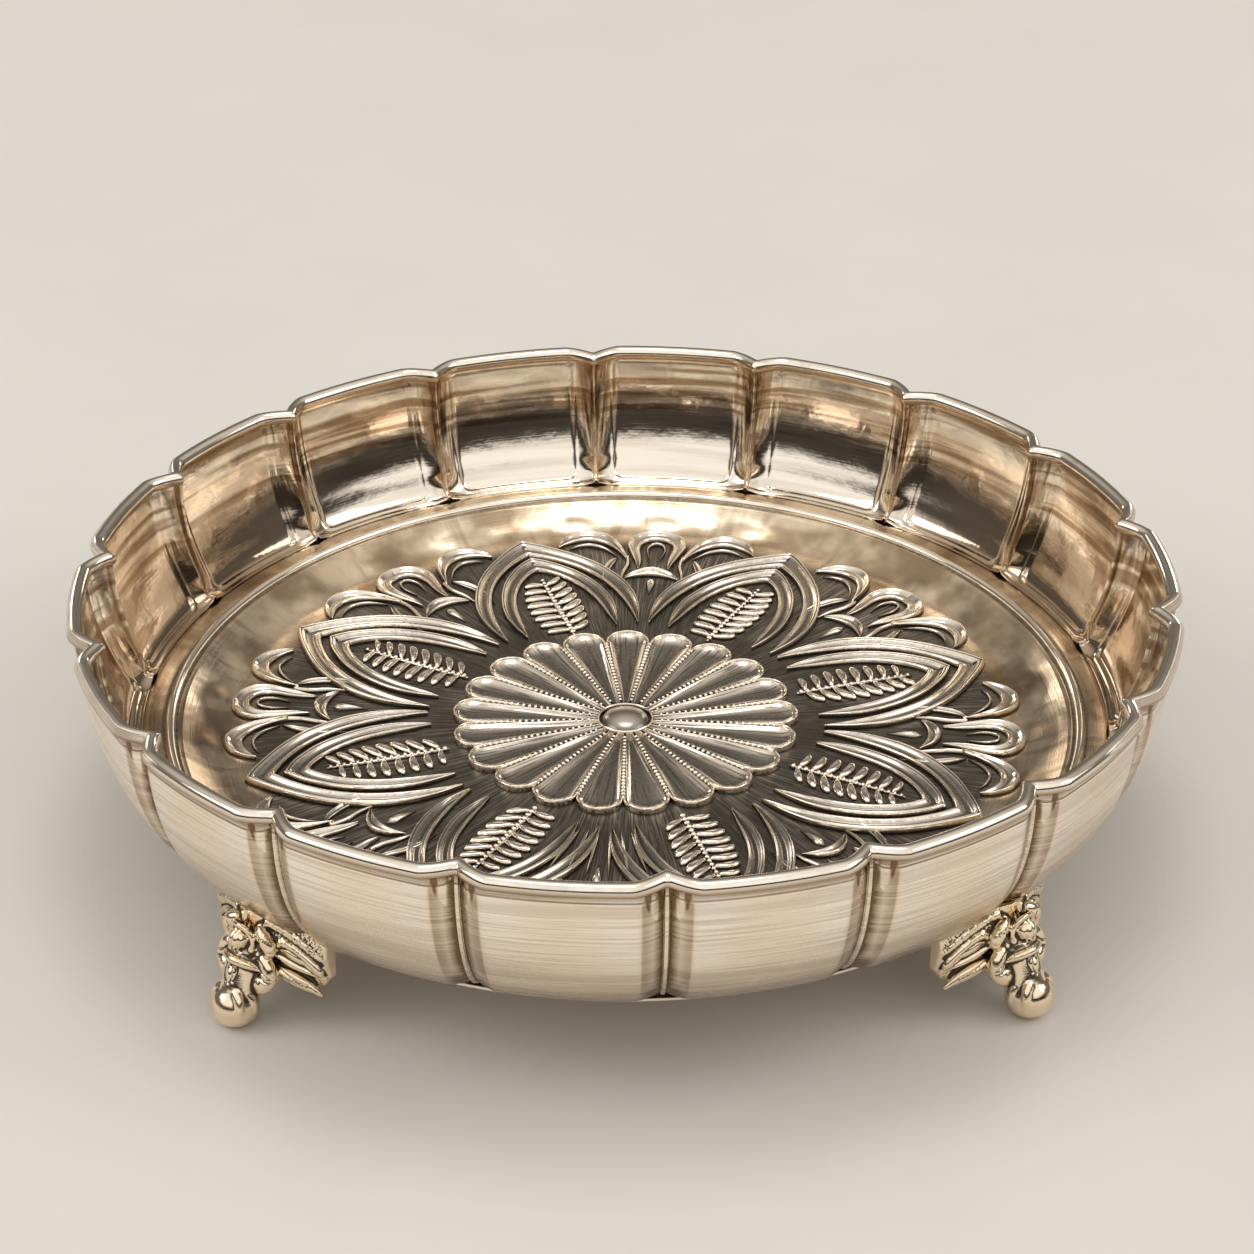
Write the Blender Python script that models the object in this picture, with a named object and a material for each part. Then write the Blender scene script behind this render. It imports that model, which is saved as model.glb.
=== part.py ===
"""Lobed footed dish with an embossed lotus floor, built from its separate pieces.

Metres, +Z up. The origin is on the table, under the dish's centre.
Run it with blender --background --python part.py, or from the text editor.
"""

import bmesh
import bpy
from math import atan2, cos, pi, radians, sin, sqrt
from mathutils import Matrix, Vector

# Overall sizes
RIM_RADIUS = 0.1270          # outer edge of the rim at the middle of a lobe
RIM_HEIGHT = 0.0610          # top of the rim above the table
FOOT_HEIGHT = 0.0193         # underside of the base plate above the table
GAP = 0.0003                 # clearance between soldered faces

# Lobes of the wall
LOBE_COUNT = 18
LOBE_TURN = radians(2.8)     # turn of the lobes against the feet
LOBE_FLAT = 0.60             # share of each half lobe that stays unfluted
LOBE_CURVE = 1.5             # how sharply the shoulder falls into the groove
LOBE_STEPS = (-1.0, -0.82, -0.62, 0.0, 0.62, 0.82)

# Rim moulding
RIM_WIDTH = 0.0034
RIM_DEPTH = 0.0026
RIM_OVERHANG = 0.0016        # how far the moulding stands out past the wall
RIM_NOTCH_OUT = 0.0038       # depth of the notch along the outer edge
RIM_NOTCH_IN = 0.0044        # depth of the notch along the inner edge

# Fluted wall
WALL_SHEET = 0.0008
WALL_FLARE = 0.0217          # how far the wall leans out between its seat and its top
WALL_FLANGE = 0.0057         # width of the in-turned flange
WALL_ROUNDING = 2.1          # exponent of the wall's curve, 2 is an ellipse
WALL_STEPS = 6
GROOVE_TOP = 0.0040
GROOVE_FOOT = 0.0020

# Base plate
BASE_SHEET = 0.0008
BASE_LEDGE = 0.0018          # how far the plate reaches past the wall's seat
BASE_SIDES = 72

# Embossed floor
FLOOR_SHEET = 0.0006
FLOOR_RISE = 0.0072         # top of the flat band above the wall's foot
RING_STEP_OUT = 0.0018       # centre line of the raised ring outside the wall's seat
RING_WIDTH = 0.0024
RING_HEIGHT = 0.0010
RING_MARGIN = 0.0013         # flat band left inside the ring
RING_SIDES = 72
DISH_WIDTH = 0.0110          # width of the plain slope between band and ornament
DISH_DEPTH = 0.0047          # drop from the band to the ornament's ground
DISH_STEPS = 3
PETAL_COUNT = 21
PETAL_TURN = radians(268.0)
PETAL_TIP_RADIUS = 0.0415
PETAL_HEIGHT = 0.0010
PETAL_COLUMNS = 4
LEAF_COUNT = 8
LEAF_TURN = radians(16.0)
LEAF_MARGIN = 0.0015         # ground left outside the leaf tips and inside their bases
LEAF_HALF_ANGLE = radians(20.0)
LEAF_POINT = 0.62            # exponent of the leaf's outline, lower is blunter
LEAF_HEIGHT = 0.0014
LEAF_STEPS = 6
PALMETTE_HEIGHT = 0.0009

# Centre boss
BOSS_RADIUS = 0.0050
BOSS_HEIGHT = 0.0022
COLLAR_WIDTH = 0.0013
COLLAR_HEIGHT = 0.0009
BOSS_SIDES = 28

# Feet
FOOT_COUNT = 4
FOOT_TURN = radians(45.0)
FOOT_STEP_OUT = 0.0125       # the bracket's outer ridge, outside the wall's seat
FOOT_OVERLAP = 0.0092        # how far the bracket climbs above the base plate's underside
WING_HALF_WIDTH = 0.0175
WING_SWEEP = 0.0072          # how far the wing tips lie back from the ridge
WING_THICKNESS = 0.0028
WING_BULGE = 0.0006          # swell of the wings' outer face
WING_DROP = 0.0088           # lowest point of the wings below the base plate's underside
TOE_STEP_OUT = 0.0053        # centre of the ball toe outside the bracket's ridge
TOE_RADIUS = 0.0046
TOE_FLAT = 0.0004            # how much of the ball is filed flat
EYE_RADIUS = 0.0034
EYE_RISE = 0.0019            # centre of the round eye above the base plate's underside
SCROLL_RADIUS = 0.0026
SCROLL_STEP_BACK = 0.0016
SCROLL_STEP_ASIDE = 0.0052
SCROLL_DROP = 0.0028
SHIN_SIDES = 10
CUTTER_STEPS = 16

WALL_BASE = FOOT_HEIGHT + BASE_SHEET + GAP
WALL_HEIGHT = RIM_HEIGHT - WALL_BASE
RIM_UNDERSIDE = RIM_HEIGHT - RIM_DEPTH
WALL_RADIUS = RIM_RADIUS - RIM_OVERHANG
SEAT_RADIUS = WALL_RADIUS - WALL_FLARE
BASE_RADIUS = SEAT_RADIUS + BASE_LEDGE
FLOOR_LEVEL = WALL_BASE + FLOOR_RISE
RING_RADIUS = SEAT_RADIUS + RING_STEP_OUT
DISH_RADIUS = RING_RADIUS - RING_WIDTH / 2.0 - RING_MARGIN
ORNAMENT_RADIUS = DISH_RADIUS - DISH_WIDTH
ORNAMENT_LEVEL = FLOOR_LEVEL - DISH_DEPTH
LEAF_TIP_RADIUS = ORNAMENT_RADIUS - LEAF_MARGIN
LEAF_BASE_RADIUS = PETAL_TIP_RADIUS + LEAF_MARGIN
COLLAR_RADIUS = BOSS_RADIUS + GAP + COLLAR_WIDTH
PETAL_FOOT_RADIUS = COLLAR_RADIUS + COLLAR_WIDTH
RIDGE_RADIUS = SEAT_RADIUS + FOOT_STEP_OUT
TOE_PLACE = RIDGE_RADIUS + TOE_STEP_OUT
FOOT_TOP = FOOT_HEIGHT + FOOT_OVERLAP


def clear_scene():
    for obj in list(bpy.data.objects):
        bpy.data.objects.remove(obj, do_unlink=True)


def make_material(name, colour, roughness):
    material = bpy.data.materials.new(name)
    material.use_nodes = True
    shader = material.node_tree.nodes["Principled BSDF"]
    shader.inputs["Base Color"].default_value = (*colour, 1.0)
    shader.inputs["Metallic"].default_value = 1.0
    shader.inputs["Roughness"].default_value = roughness
    material.diffuse_color = (*colour, 1.0)
    return material


def finish_mesh(mesh, material):
    """Smooth shading with crisp edges, and the piece's material."""
    mesh.shade_smooth()
    mesh.set_sharp_from_angle(angle=radians(35.0))
    mesh.materials.append(material)
    return mesh


def add_object(name, mesh):
    obj = bpy.data.objects.new(name, mesh)
    bpy.context.scene.collection.objects.link(obj)
    return obj


def as_mesh(build, name):
    """Turns a bmesh into a mesh with its faces outwards, and frees it."""
    bmesh.ops.recalc_face_normals(build, faces=build.faces)
    mesh = bpy.data.meshes.new(name)
    build.to_mesh(mesh)
    build.free()
    return mesh


def polar(radius, angle, height):
    return Vector((radius * cos(angle), radius * sin(angle), height))


def even_angles(count, turn=0.0):
    return [turn + 2.0 * pi * i / count for i in range(count)]


class Shell:
    """Collects rings of points round the dish's axis and closes the strips between them."""

    def __init__(self):
        self.points = []
        self.faces = []

    def ring(self, angles, place):
        """Adds the point place(angle) for each azimuth; returns azimuths and point indices."""
        first = len(self.points)
        self.points.extend(place(angle) for angle in angles)
        return [(angle, first + i) for i, angle in enumerate(angles)]

    def circle(self, count, radius, height):
        return self.ring(even_angles(count), lambda angle: polar(radius, angle, height))

    def join(self, outer, inner):
        """Closes the strip between two rings, column by column where they have as many points."""
        count = len(outer)
        if count != len(inner):
            self.zip(outer, inner)
            return
        for i in range(count):
            k = (i + 1) % count
            self.faces.append((outer[i][1], outer[k][1], inner[k][1], inner[i][1]))

    def zip(self, outer, inner):
        """Joins rings with different numbers of points, always taking the nearer next point."""
        rings = []
        for ring in (outer, inner):
            turned = sorted((angle % (2.0 * pi), index) for angle, index in ring)
            rings.append(turned + [(turned[0][0] + 2.0 * pi, turned[0][1])])
        outer, inner = rings
        i = k = 0
        while i < len(outer) - 1 or k < len(inner) - 1:
            outer_left = i < len(outer) - 1
            inner_left = k < len(inner) - 1
            if outer_left and (not inner_left or outer[i + 1][0] <= inner[k + 1][0]):
                self.faces.append((outer[i][1], outer[i + 1][1], inner[k][1]))
                i += 1
            else:
                self.faces.append((outer[i][1], inner[k + 1][1], inner[k][1]))
                k += 1

    def join_all(self, rings):
        for ring, following in zip(rings, rings[1:]):
            self.join(ring, following)

    def cap(self, ring, height):
        """Closes a ring with a fan round a point on the axis."""
        tip = len(self.points)
        self.points.append(Vector((0.0, 0.0, height)))
        count = len(ring)
        for i in range(count):
            self.faces.append((ring[i][1], ring[(i + 1) % count][1], tip))

    def mesh(self, name):
        rough = bpy.data.meshes.new(name)
        rough.from_pydata(self.points, [], self.faces)
        build = bmesh.new()
        build.from_mesh(rough)
        bpy.data.meshes.remove(rough)
        return as_mesh(build, name)


def lobe_angles():
    """Azimuths of the columns that describe the lobes, closer together in the grooves."""
    half = pi / LOBE_COUNT
    start = -pi / 2.0 + LOBE_TURN + half
    return [
        start + 2.0 * half * lobe + half * step
        for lobe in range(LOBE_COUNT)
        for step in LOBE_STEPS
    ]


def groove_share(angle):
    """0 on the flat of a lobe, 1 at the bottom of the groove between two lobes."""
    half = pi / LOBE_COUNT
    offset = (angle + pi / 2.0 - LOBE_TURN) % (2.0 * half)
    across = abs(offset - half) / half
    share = max(0.0, (across - LOBE_FLAT) / (1.0 - LOBE_FLAT))
    return share**LOBE_CURVE


def groove_depth(angle, height):
    """Depth of the groove in the wall, deepest at the rim."""
    share = max(0.0, (height - WALL_BASE) / WALL_HEIGHT)
    return (GROOVE_FOOT + (GROOVE_TOP - GROOVE_FOOT) * share) * groove_share(angle)


def fluted_ring(shell, radius, height):
    """A ring on the fluted wall, whose lobes reach out to the radius."""
    return shell.ring(lobe_angles(), lambda a: polar(radius - groove_depth(a, height), a, height))


def wall_curve(inset, top, steps=WALL_STEPS):
    """(radius, height) points down the wall's curve, inset inwards from its outer face."""
    power = 2.0 / WALL_ROUNDING
    across = WALL_FLARE - inset
    down = WALL_HEIGHT - inset
    first = ((RIM_HEIGHT - top) / down) ** (1.0 / power)
    start = atan2(first, sqrt(1.0 - first * first))
    points = []
    for i in range(steps + 1):
        turn = start + (pi / 2.0 - start) * i / steps
        radius = SEAT_RADIUS + across * max(0.0, cos(turn)) ** power
        points.append((radius, RIM_HEIGHT - down * sin(turn) ** power))
    return points


def wall_inside(height):
    """Radius of the wall's inner face at a height, at the middle of a lobe."""
    curve = wall_curve(WALL_SHEET, RIM_UNDERSIDE - GAP)
    for (upper, top), (lower, bottom) in zip(curve, curve[1:]):
        if bottom <= height <= top:
            return lower + (upper - lower) * (height - bottom) / (top - bottom)
    raise ValueError("the wall has no inner face at this height")


def build_fluted_wall(material):
    """One sheet: eighteen lobes that curve in under themselves to a flat flange."""
    flange = SEAT_RADIUS - WALL_FLANGE
    top = RIM_UNDERSIDE - GAP
    shell = Shell()
    outer = [fluted_ring(shell, radius, height) for radius, height in wall_curve(0.0, top)]
    inner = [fluted_ring(shell, radius, height) for radius, height in wall_curve(WALL_SHEET, top)]
    for level in (WALL_BASE, WALL_BASE + WALL_SHEET):
        outer.append(shell.ring(lobe_angles(), lambda angle: polar(flange, angle, level)))
    rings = outer + inner[::-1]
    shell.join_all(rings + rings[:1])
    add_object("fluted_wall", finish_mesh(shell.mesh("fluted_wall"), material))


def build_rim_moulding(material):
    """Rounded lip that caps the wall and folds inwards at each groove."""
    # share of the width from the outer edge, share of the depth from below
    section = [
        (0.00, 0.60),
        (0.10, 0.90),
        (0.34, 1.00),
        (0.66, 1.00),
        (0.93, 0.84),
        (1.00, 0.50),
        (0.94, 0.00),
        (0.10, 0.00),
    ]
    shell = Shell()
    rings = []
    for across, up in section:

        def place(angle):
            share = groove_share(angle)
            outside = RIM_RADIUS - RIM_NOTCH_OUT * share
            inside = RIM_RADIUS - RIM_WIDTH - RIM_NOTCH_IN * share
            radius = outside + (inside - outside) * across
            return polar(radius, angle, RIM_UNDERSIDE + RIM_DEPTH * up)

        rings.append(shell.ring(lobe_angles(), place))
    shell.join_all(rings + rings[:1])
    add_object("rim_moulding", finish_mesh(shell.mesh("rim_moulding"), material))


def leaf_half_angle(radius):
    """Half the angle that a pointed leaf spans at a radius."""
    along = (radius - LEAF_BASE_RADIUS) / (LEAF_TIP_RADIUS - LEAF_BASE_RADIUS)
    return LEAF_HALF_ANGLE * max(0.0, 1.0 - along) ** LEAF_POINT


def leaf_ring(shell, radius, swell):
    """One ring across the eight leaves, with columns that follow each leaf's outline.

    swell is 0 at the ends of the leaves and 1 along their middle.
    """
    # share of the leaf's half angle, share of its height
    profile = [(0.0, 0.55), (0.58, 0.35), (0.84, 1.0), (1.0, 0.0)]
    half = leaf_half_angle(radius)
    edge = pi / LEAF_COUNT
    palmette = PALMETTE_HEIGHT * swell
    columns = [(half * share, LEAF_HEIGHT * up * swell) for share, up in profile]
    columns.append(((half + edge) / 2.0, palmette * 0.6))
    across = [(-angle, up) for angle, up in columns[:0:-1]] + columns + [(edge, palmette)]
    heights = {}
    for leaf in even_angles(LEAF_COUNT, LEAF_TURN):
        for angle, up in across:
            heights[leaf + angle] = ORNAMENT_LEVEL + up
    return shell.ring(list(heights), lambda angle: polar(radius, angle, heights[angle]))


def petal_ring(shell, share):
    """One ring across the rosette: ribs between the petals, a scoop along each petal.

    share is 0 at the foot of the petals and 1 at their tips.
    """
    radius = PETAL_FOOT_RADIUS + (PETAL_TIP_RADIUS - PETAL_FOOT_RADIUS) * share

    def place(angle):
        phase = ((angle - PETAL_TURN) * PETAL_COUNT / (2.0 * pi)) % 1.0
        rib = abs(2.0 * phase - 1.0)
        scoop = 0.3 + 0.7 * rib * sqrt(share)
        return polar(radius, angle, ORNAMENT_LEVEL + PETAL_HEIGHT * scoop)

    return shell.ring(even_angles(PETAL_COUNT * PETAL_COLUMNS, PETAL_TURN), place)


def floor_edge(shell, height):
    """Outline of the floor, which follows the wall's inner face with the solder gap."""
    return fluted_ring(shell, wall_inside(height) - GAP, height)


def slope_rings(shell, drop):
    """Smooth rings from the flat band down to the ornament's ground, lowered by drop."""
    rings = []
    for i in range(DISH_STEPS + 1):
        share = i / DISH_STEPS
        height = FLOOR_LEVEL - DISH_DEPTH * sin(share * pi / 2.0)
        rings.append(shell.circle(RING_SIDES, DISH_RADIUS - DISH_WIDTH * share, height - drop))
    return rings


def build_floor_plate(material):
    """Embossed disc trimmed to the lobes: band, shallow slope, leaves, rosette and collar."""
    shell = Shell()
    leaf_length = LEAF_TIP_RADIUS - LEAF_BASE_RADIUS
    collar_level = ORNAMENT_LEVEL + COLLAR_HEIGHT

    top = [floor_edge(shell, FLOOR_LEVEL)] + slope_rings(shell, 0.0)
    for i in range(1, LEAF_STEPS + 1):
        share = i / (LEAF_STEPS + 1)
        swell = min(1.0, 3.0 * share) * min(1.0, 4.0 * (1.0 - share))
        top.append(leaf_ring(shell, LEAF_TIP_RADIUS - leaf_length * share, swell))
    top += [petal_ring(shell, share) for share in (1.0, 0.82, 0.45, 0.12)]
    top.append(shell.circle(BOSS_SIDES, COLLAR_RADIUS, collar_level))
    top.append(shell.circle(BOSS_SIDES, BOSS_RADIUS + GAP, collar_level))
    top.append(shell.circle(BOSS_SIDES, BOSS_RADIUS + GAP, ORNAMENT_LEVEL))
    under = [floor_edge(shell, FLOOR_LEVEL - FLOOR_SHEET)] + slope_rings(shell, FLOOR_SHEET)

    shell.join_all(top[::-1] + under)
    shell.cap(top[-1], ORNAMENT_LEVEL)
    shell.cap(under[-1], ORNAMENT_LEVEL - FLOOR_SHEET)
    add_object("floor_plate", finish_mesh(shell.mesh("floor_plate"), material))


def build_floor_ring(material):
    """Half-round wire soldered on the floor round its dished part."""
    # share of half the width from the wire's centre line, share of the height
    section = [(1.0, 0.0), (0.8, 0.65), (0.0, 1.0), (-0.8, 0.65), (-1.0, 0.0)]
    seat = FLOOR_LEVEL + GAP
    shell = Shell()
    rings = [
        shell.circle(RING_SIDES, RING_RADIUS + RING_WIDTH / 2.0 * out, seat + RING_HEIGHT * up)
        for out, up in section
    ]
    shell.join_all(rings + rings[:1])
    add_object("floor_ring", finish_mesh(shell.mesh("floor_ring"), material))


def build_base_plate(material):
    """Flat disc that closes the dish from below."""
    shell = Shell()
    upper = shell.circle(BASE_SIDES, BASE_RADIUS, FOOT_HEIGHT + BASE_SHEET)
    lower = shell.circle(BASE_SIDES, BASE_RADIUS, FOOT_HEIGHT)
    shell.join(upper, lower)
    shell.cap(upper, FOOT_HEIGHT + BASE_SHEET)
    shell.cap(lower, FOOT_HEIGHT)
    add_object("base_plate", finish_mesh(shell.mesh("base_plate"), material))


def build_centre_boss(material):
    """Domed stud set in the collar at the centre of the rosette."""
    shell = Shell()
    seat = ORNAMENT_LEVEL + GAP
    rings = []
    for tilt in (0.0, 20.0, 42.0, 64.0):
        radius = BOSS_RADIUS * cos(radians(tilt))
        rings.append(shell.circle(BOSS_SIDES, radius, seat + BOSS_HEIGHT * sin(radians(tilt))))
    shell.join_all(rings)
    shell.cap(rings[-1], seat + BOSS_HEIGHT)
    shell.cap(rings[0], seat)
    add_object("centre_boss", finish_mesh(shell.mesh("centre_boss"), material))


def add_helper(name, mesh):
    """A solid that only shapes other solids."""
    obj = add_object(name, mesh)
    obj.hide_render = True
    obj.display_type = "WIRE"
    return obj


def ball_bmesh(centre, radius, segments, rings):
    """A ball turned by half a segment, so that no column of points lies on the foot's middle."""
    build = bmesh.new()
    half_segment = Matrix.Rotation(pi / segments, 4, "Z")
    bmesh.ops.create_uvsphere(
        build,
        u_segments=segments,
        v_segments=rings,
        radius=radius,
        matrix=Matrix.Translation(centre) @ half_segment,
    )
    return build


def ball_mesh(name, centre, radius, segments, rings):
    return as_mesh(ball_bmesh(centre, radius, segments, rings), name)


def toe_mesh():
    """Ball toe, filed flat where it stands."""
    build = ball_bmesh((TOE_PLACE, 0.0, TOE_RADIUS - TOE_FLAT), TOE_RADIUS, 18, 10)
    cut = bmesh.ops.bisect_plane(
        build,
        geom=build.verts[:] + build.edges[:] + build.faces[:],
        plane_co=(0.0, 0.0, 0.0),
        plane_no=(0.0, 0.0, -1.0),
        clear_outer=True,
    )
    rim = [item for item in cut["geom_cut"] if isinstance(item, bmesh.types.BMEdge)]
    bmesh.ops.contextual_create(build, geom=rim)
    return as_mesh(build, "foot_toe")


def loft_mesh(name, sections):
    """Closed solid through sections that all have as many points."""
    build = bmesh.new()
    loops = [[build.verts.new(point) for point in section] for section in sections]
    for loop, following in zip(loops, loops[1:]):
        count = len(loop)
        for i in range(count):
            k = (i + 1) % count
            build.faces.new((loop[i], loop[k], following[k], following[i]))
    build.faces.new(loops[0])
    build.faces.new(loops[-1])
    return as_mesh(build, name)


def wings_mesh():
    """Angled bracket whose two wings follow the wall's foot and end in low points."""
    lowest = FOOT_HEIGHT - WING_DROP
    # share of the half width, height of the lower edge above the lowest point
    half_edge = [(0.0, 0.0030), (0.28, 0.0045), (0.55, 0.0030), (0.88, 0.0), (1.0, 0.0045)]
    edge = [(-share, up) for share, up in half_edge[:0:-1]] + half_edge
    sections = []
    for share, up in edge:
        outside = RIDGE_RADIUS - WING_SWEEP * abs(share)
        inside = outside - WING_THICKNESS
        y = WING_HALF_WIDTH * share
        low = lowest + up
        section = [
            (inside, y, low),
            (outside, y, low),
            (outside + WING_BULGE, y, (low + FOOT_TOP) / 2.0),
            (outside, y, FOOT_TOP),
            (inside, y, FOOT_TOP),
        ]
        sections.append(section)
    return loft_mesh("foot_wings", sections)


def shin_mesh():
    """Tapering leg from the bracket's ridge down into the ball."""
    # distance out from the ridge, height, half width
    stations = [
        (-0.0022, FOOT_HEIGHT - 0.0003, 0.0030),
        (0.0001, FOOT_HEIGHT - 0.0043, 0.0038),
        (0.0018, TOE_RADIUS + 0.0064, 0.0027),
        (0.0043, TOE_RADIUS + 0.0019, 0.0033),
    ]
    across = Vector((0.0, 1.0, 0.0))
    sections = []
    for i, (out, height, half) in enumerate(stations):
        before = stations[max(0, i - 1)]
        after = stations[min(len(stations) - 1, i + 1)]
        along = Vector((after[0] - before[0], 0.0, after[1] - before[1])).normalized()
        outward = along.cross(across)
        centre = Vector((RIDGE_RADIUS + out, 0.0, height))
        section = [
            centre + half * (cos(angle) * across + sin(angle) * outward)
            for angle in even_angles(SHIN_SIDES)
        ]
        sections.append(section)
    return loft_mesh("foot_shin", sections)


def foot_mesh():
    """The whole casting of one foot, pointing along +X, before its top is fitted to the wall."""
    eye = (RIDGE_RADIUS, 0.0, FOOT_HEIGHT + EYE_RISE)
    body = add_helper("foot_wings", wings_mesh())
    lumps = [
        add_helper("foot_shin", shin_mesh()),
        add_helper("foot_toe", toe_mesh()),
        add_helper("foot_eye", ball_mesh("foot_eye", eye, EYE_RADIUS, 12, 8)),
    ]
    for side in (-1.0, 1.0):
        spot = (
            RIDGE_RADIUS - SCROLL_STEP_BACK,
            side * SCROLL_STEP_ASIDE,
            FOOT_HEIGHT - SCROLL_DROP,
        )
        lumps.append(add_helper("foot_scroll", ball_mesh("foot_scroll", spot, SCROLL_RADIUS, 10, 7)))
    for lump in lumps:
        union = body.modifiers.new(lump.name, "BOOLEAN")
        union.operation = "UNION"
        union.solver = "EXACT"
        union.object = lump
    graph = bpy.context.evaluated_depsgraph_get()
    mesh = bpy.data.meshes.new_from_object(body.evaluated_get(graph))
    mesh.name = "foot_casting"
    for helper in [body] + lumps:
        bpy.data.objects.remove(helper, do_unlink=True)
    return mesh


def seat_cutter_mesh():
    """All that the dish fills, grown by the solder gap, to fit the feet to it."""
    shell = Shell()
    angles = lobe_angles()
    reach = BASE_RADIUS + GAP
    underside = FOOT_HEIGHT - GAP
    rings = []
    for radius, height in wall_curve(-GAP, RIM_UNDERSIDE, CUTTER_STEPS):
        if radius - groove_depth(angles[0], height) > reach + GAP:
            rings.append(fluted_ring(shell, radius, height))
            lowest = height
    for height in (lowest, underside):
        rings.append(shell.ring(angles, lambda angle: polar(reach, angle, height)))
    shell.join_all(rings)
    shell.cap(rings[0], RIM_UNDERSIDE)
    shell.cap(rings[-1], underside)
    return shell.mesh("seat_cutter")


def build_feet(material):
    """Four equal castings, each trimmed to the part of the wall that it carries."""
    mesh = finish_mesh(foot_mesh(), material)
    cutter = add_helper("seat_cutter", seat_cutter_mesh())
    names = ("foot_back_right", "foot_back_left", "foot_front_left", "foot_front_right")
    for name, angle in zip(names, even_angles(FOOT_COUNT, FOOT_TURN)):
        foot = add_object(name, mesh)
        foot.matrix_world = Matrix.Rotation(angle, 4, "Z")
        fit = foot.modifiers.new("fit_to_wall", "BOOLEAN")
        fit.operation = "DIFFERENCE"
        fit.solver = "EXACT"
        fit.object = cutter


def main():
    clear_scene()
    satin = make_material("satin_silver", (0.80, 0.74, 0.66), 0.32)
    polished = make_material("polished_silver", (0.90, 0.86, 0.80), 0.12)
    embossed = make_material("embossed_silver", (0.62, 0.57, 0.50), 0.25)
    cast = make_material("cast_silver", (0.86, 0.80, 0.72), 0.18)
    build_fluted_wall(satin)
    build_rim_moulding(polished)
    build_floor_plate(embossed)
    build_floor_ring(polished)
    build_centre_boss(polished)
    build_base_plate(satin)
    build_feet(cast)


main()
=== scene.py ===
"""Footed lotus plate: the looks of its pieces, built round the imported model.

Run it as a script. Its operators make one group of pieces each.
"""

from functools import partial, reduce
from math import cos, pi, radians, sin

import bmesh
import bpy
import numpy as np
from bpy.props import FloatProperty, FloatVectorProperty, IntProperty, PointerProperty
from mathutils import Matrix, Vector


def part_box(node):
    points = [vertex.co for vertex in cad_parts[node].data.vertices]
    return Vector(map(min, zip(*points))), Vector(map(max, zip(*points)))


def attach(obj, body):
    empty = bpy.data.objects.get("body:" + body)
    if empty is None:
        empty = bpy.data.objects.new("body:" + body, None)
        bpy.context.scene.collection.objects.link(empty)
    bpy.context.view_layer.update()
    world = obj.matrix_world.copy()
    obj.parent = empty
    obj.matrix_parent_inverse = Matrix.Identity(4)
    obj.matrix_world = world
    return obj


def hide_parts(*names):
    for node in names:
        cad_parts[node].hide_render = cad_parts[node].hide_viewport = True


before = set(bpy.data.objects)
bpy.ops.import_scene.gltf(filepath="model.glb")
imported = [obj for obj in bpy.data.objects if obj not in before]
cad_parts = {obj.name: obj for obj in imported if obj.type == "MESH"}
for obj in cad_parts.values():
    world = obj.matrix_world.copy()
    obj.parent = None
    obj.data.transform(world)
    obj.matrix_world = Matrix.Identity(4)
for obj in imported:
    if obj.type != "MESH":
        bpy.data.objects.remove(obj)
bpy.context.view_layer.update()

bl_info = {
    "name": "Footed lotus plate",
    "version": (1, 0, 0),
    "blender": (4, 5, 0),
    "location": "3D View > Sidebar > Lotus plate",
    "description": "Makes the pieces of a lobed silver plate with an embossed lotus floor",
    "category": "Add Mesh",
}

MM = 0.001
WALL_TOP = 59.2 * MM  # upper edge of the wall's skins, hidden in the lip
ENGRAVED_LINE = 56.3 * MM  # height of the line round the outside of the wall
WIRE_SIDES = 1.45 * MM  # from the floor wire's centre line to the dark line on each side of it
LIP_POLISH = "lip_polish"


# ---------------------------------------------------------------- settings


def setting(kind, **fixed):
    """A maker of properties of one kind, which takes a name, a description and a default."""
    return lambda name, description, default: kind(
        name=name, description=description, default=default, **fixed
    )


length = setting(FloatProperty, subtype="DISTANCE", unit="LENGTH", precision=5)
turn = setting(FloatProperty, subtype="ANGLE", unit="ROTATION")
colour = setting(FloatVectorProperty, subtype="COLOR", size=3, min=0.0, max=1.0)


class WallSizes(bpy.types.PropertyGroup):
    lobes: IntProperty(name="Lobes", description="Lobes round the wall", default=18, min=3)
    first_turn: turn("Turn", "Turn of the lobes against the feet", radians(2.8))
    rim_radius: length("Rim radius", "Outer edge of the lip at a lobe", 0.1268)
    rim_height: length("Rim height", "Top of the lip above the table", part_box("rim_moulding")[1].z)
    rim_depth: length("Lip depth", "Height of the lip itself", 0.0028)
    rim_width: length("Lip width", "Width of the lip", 0.0037)
    notch_out: length("Outer notch", "Depth of the lip's notch along its outer edge", 0.0038)
    notch_in: length("Inner notch", "Depth of the lip's notch along its inner edge", 0.0044)
    foot_height: length("Wall foot", "Lowest edge of the wall above the table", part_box("fluted_wall")[0].z)
    top_radius: length("Top radius", "Outside of the wall under the lip", 0.1254)
    seat_radius: length("Seat radius", "Outside of the wall where it meets the base", 0.1037)
    groove_top: length("Groove at the top", "Depth of the grooves under the lip", 0.0040)
    groove_foot: length("Groove at the foot", "Depth of the grooves at the base", 0.0020)


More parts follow.
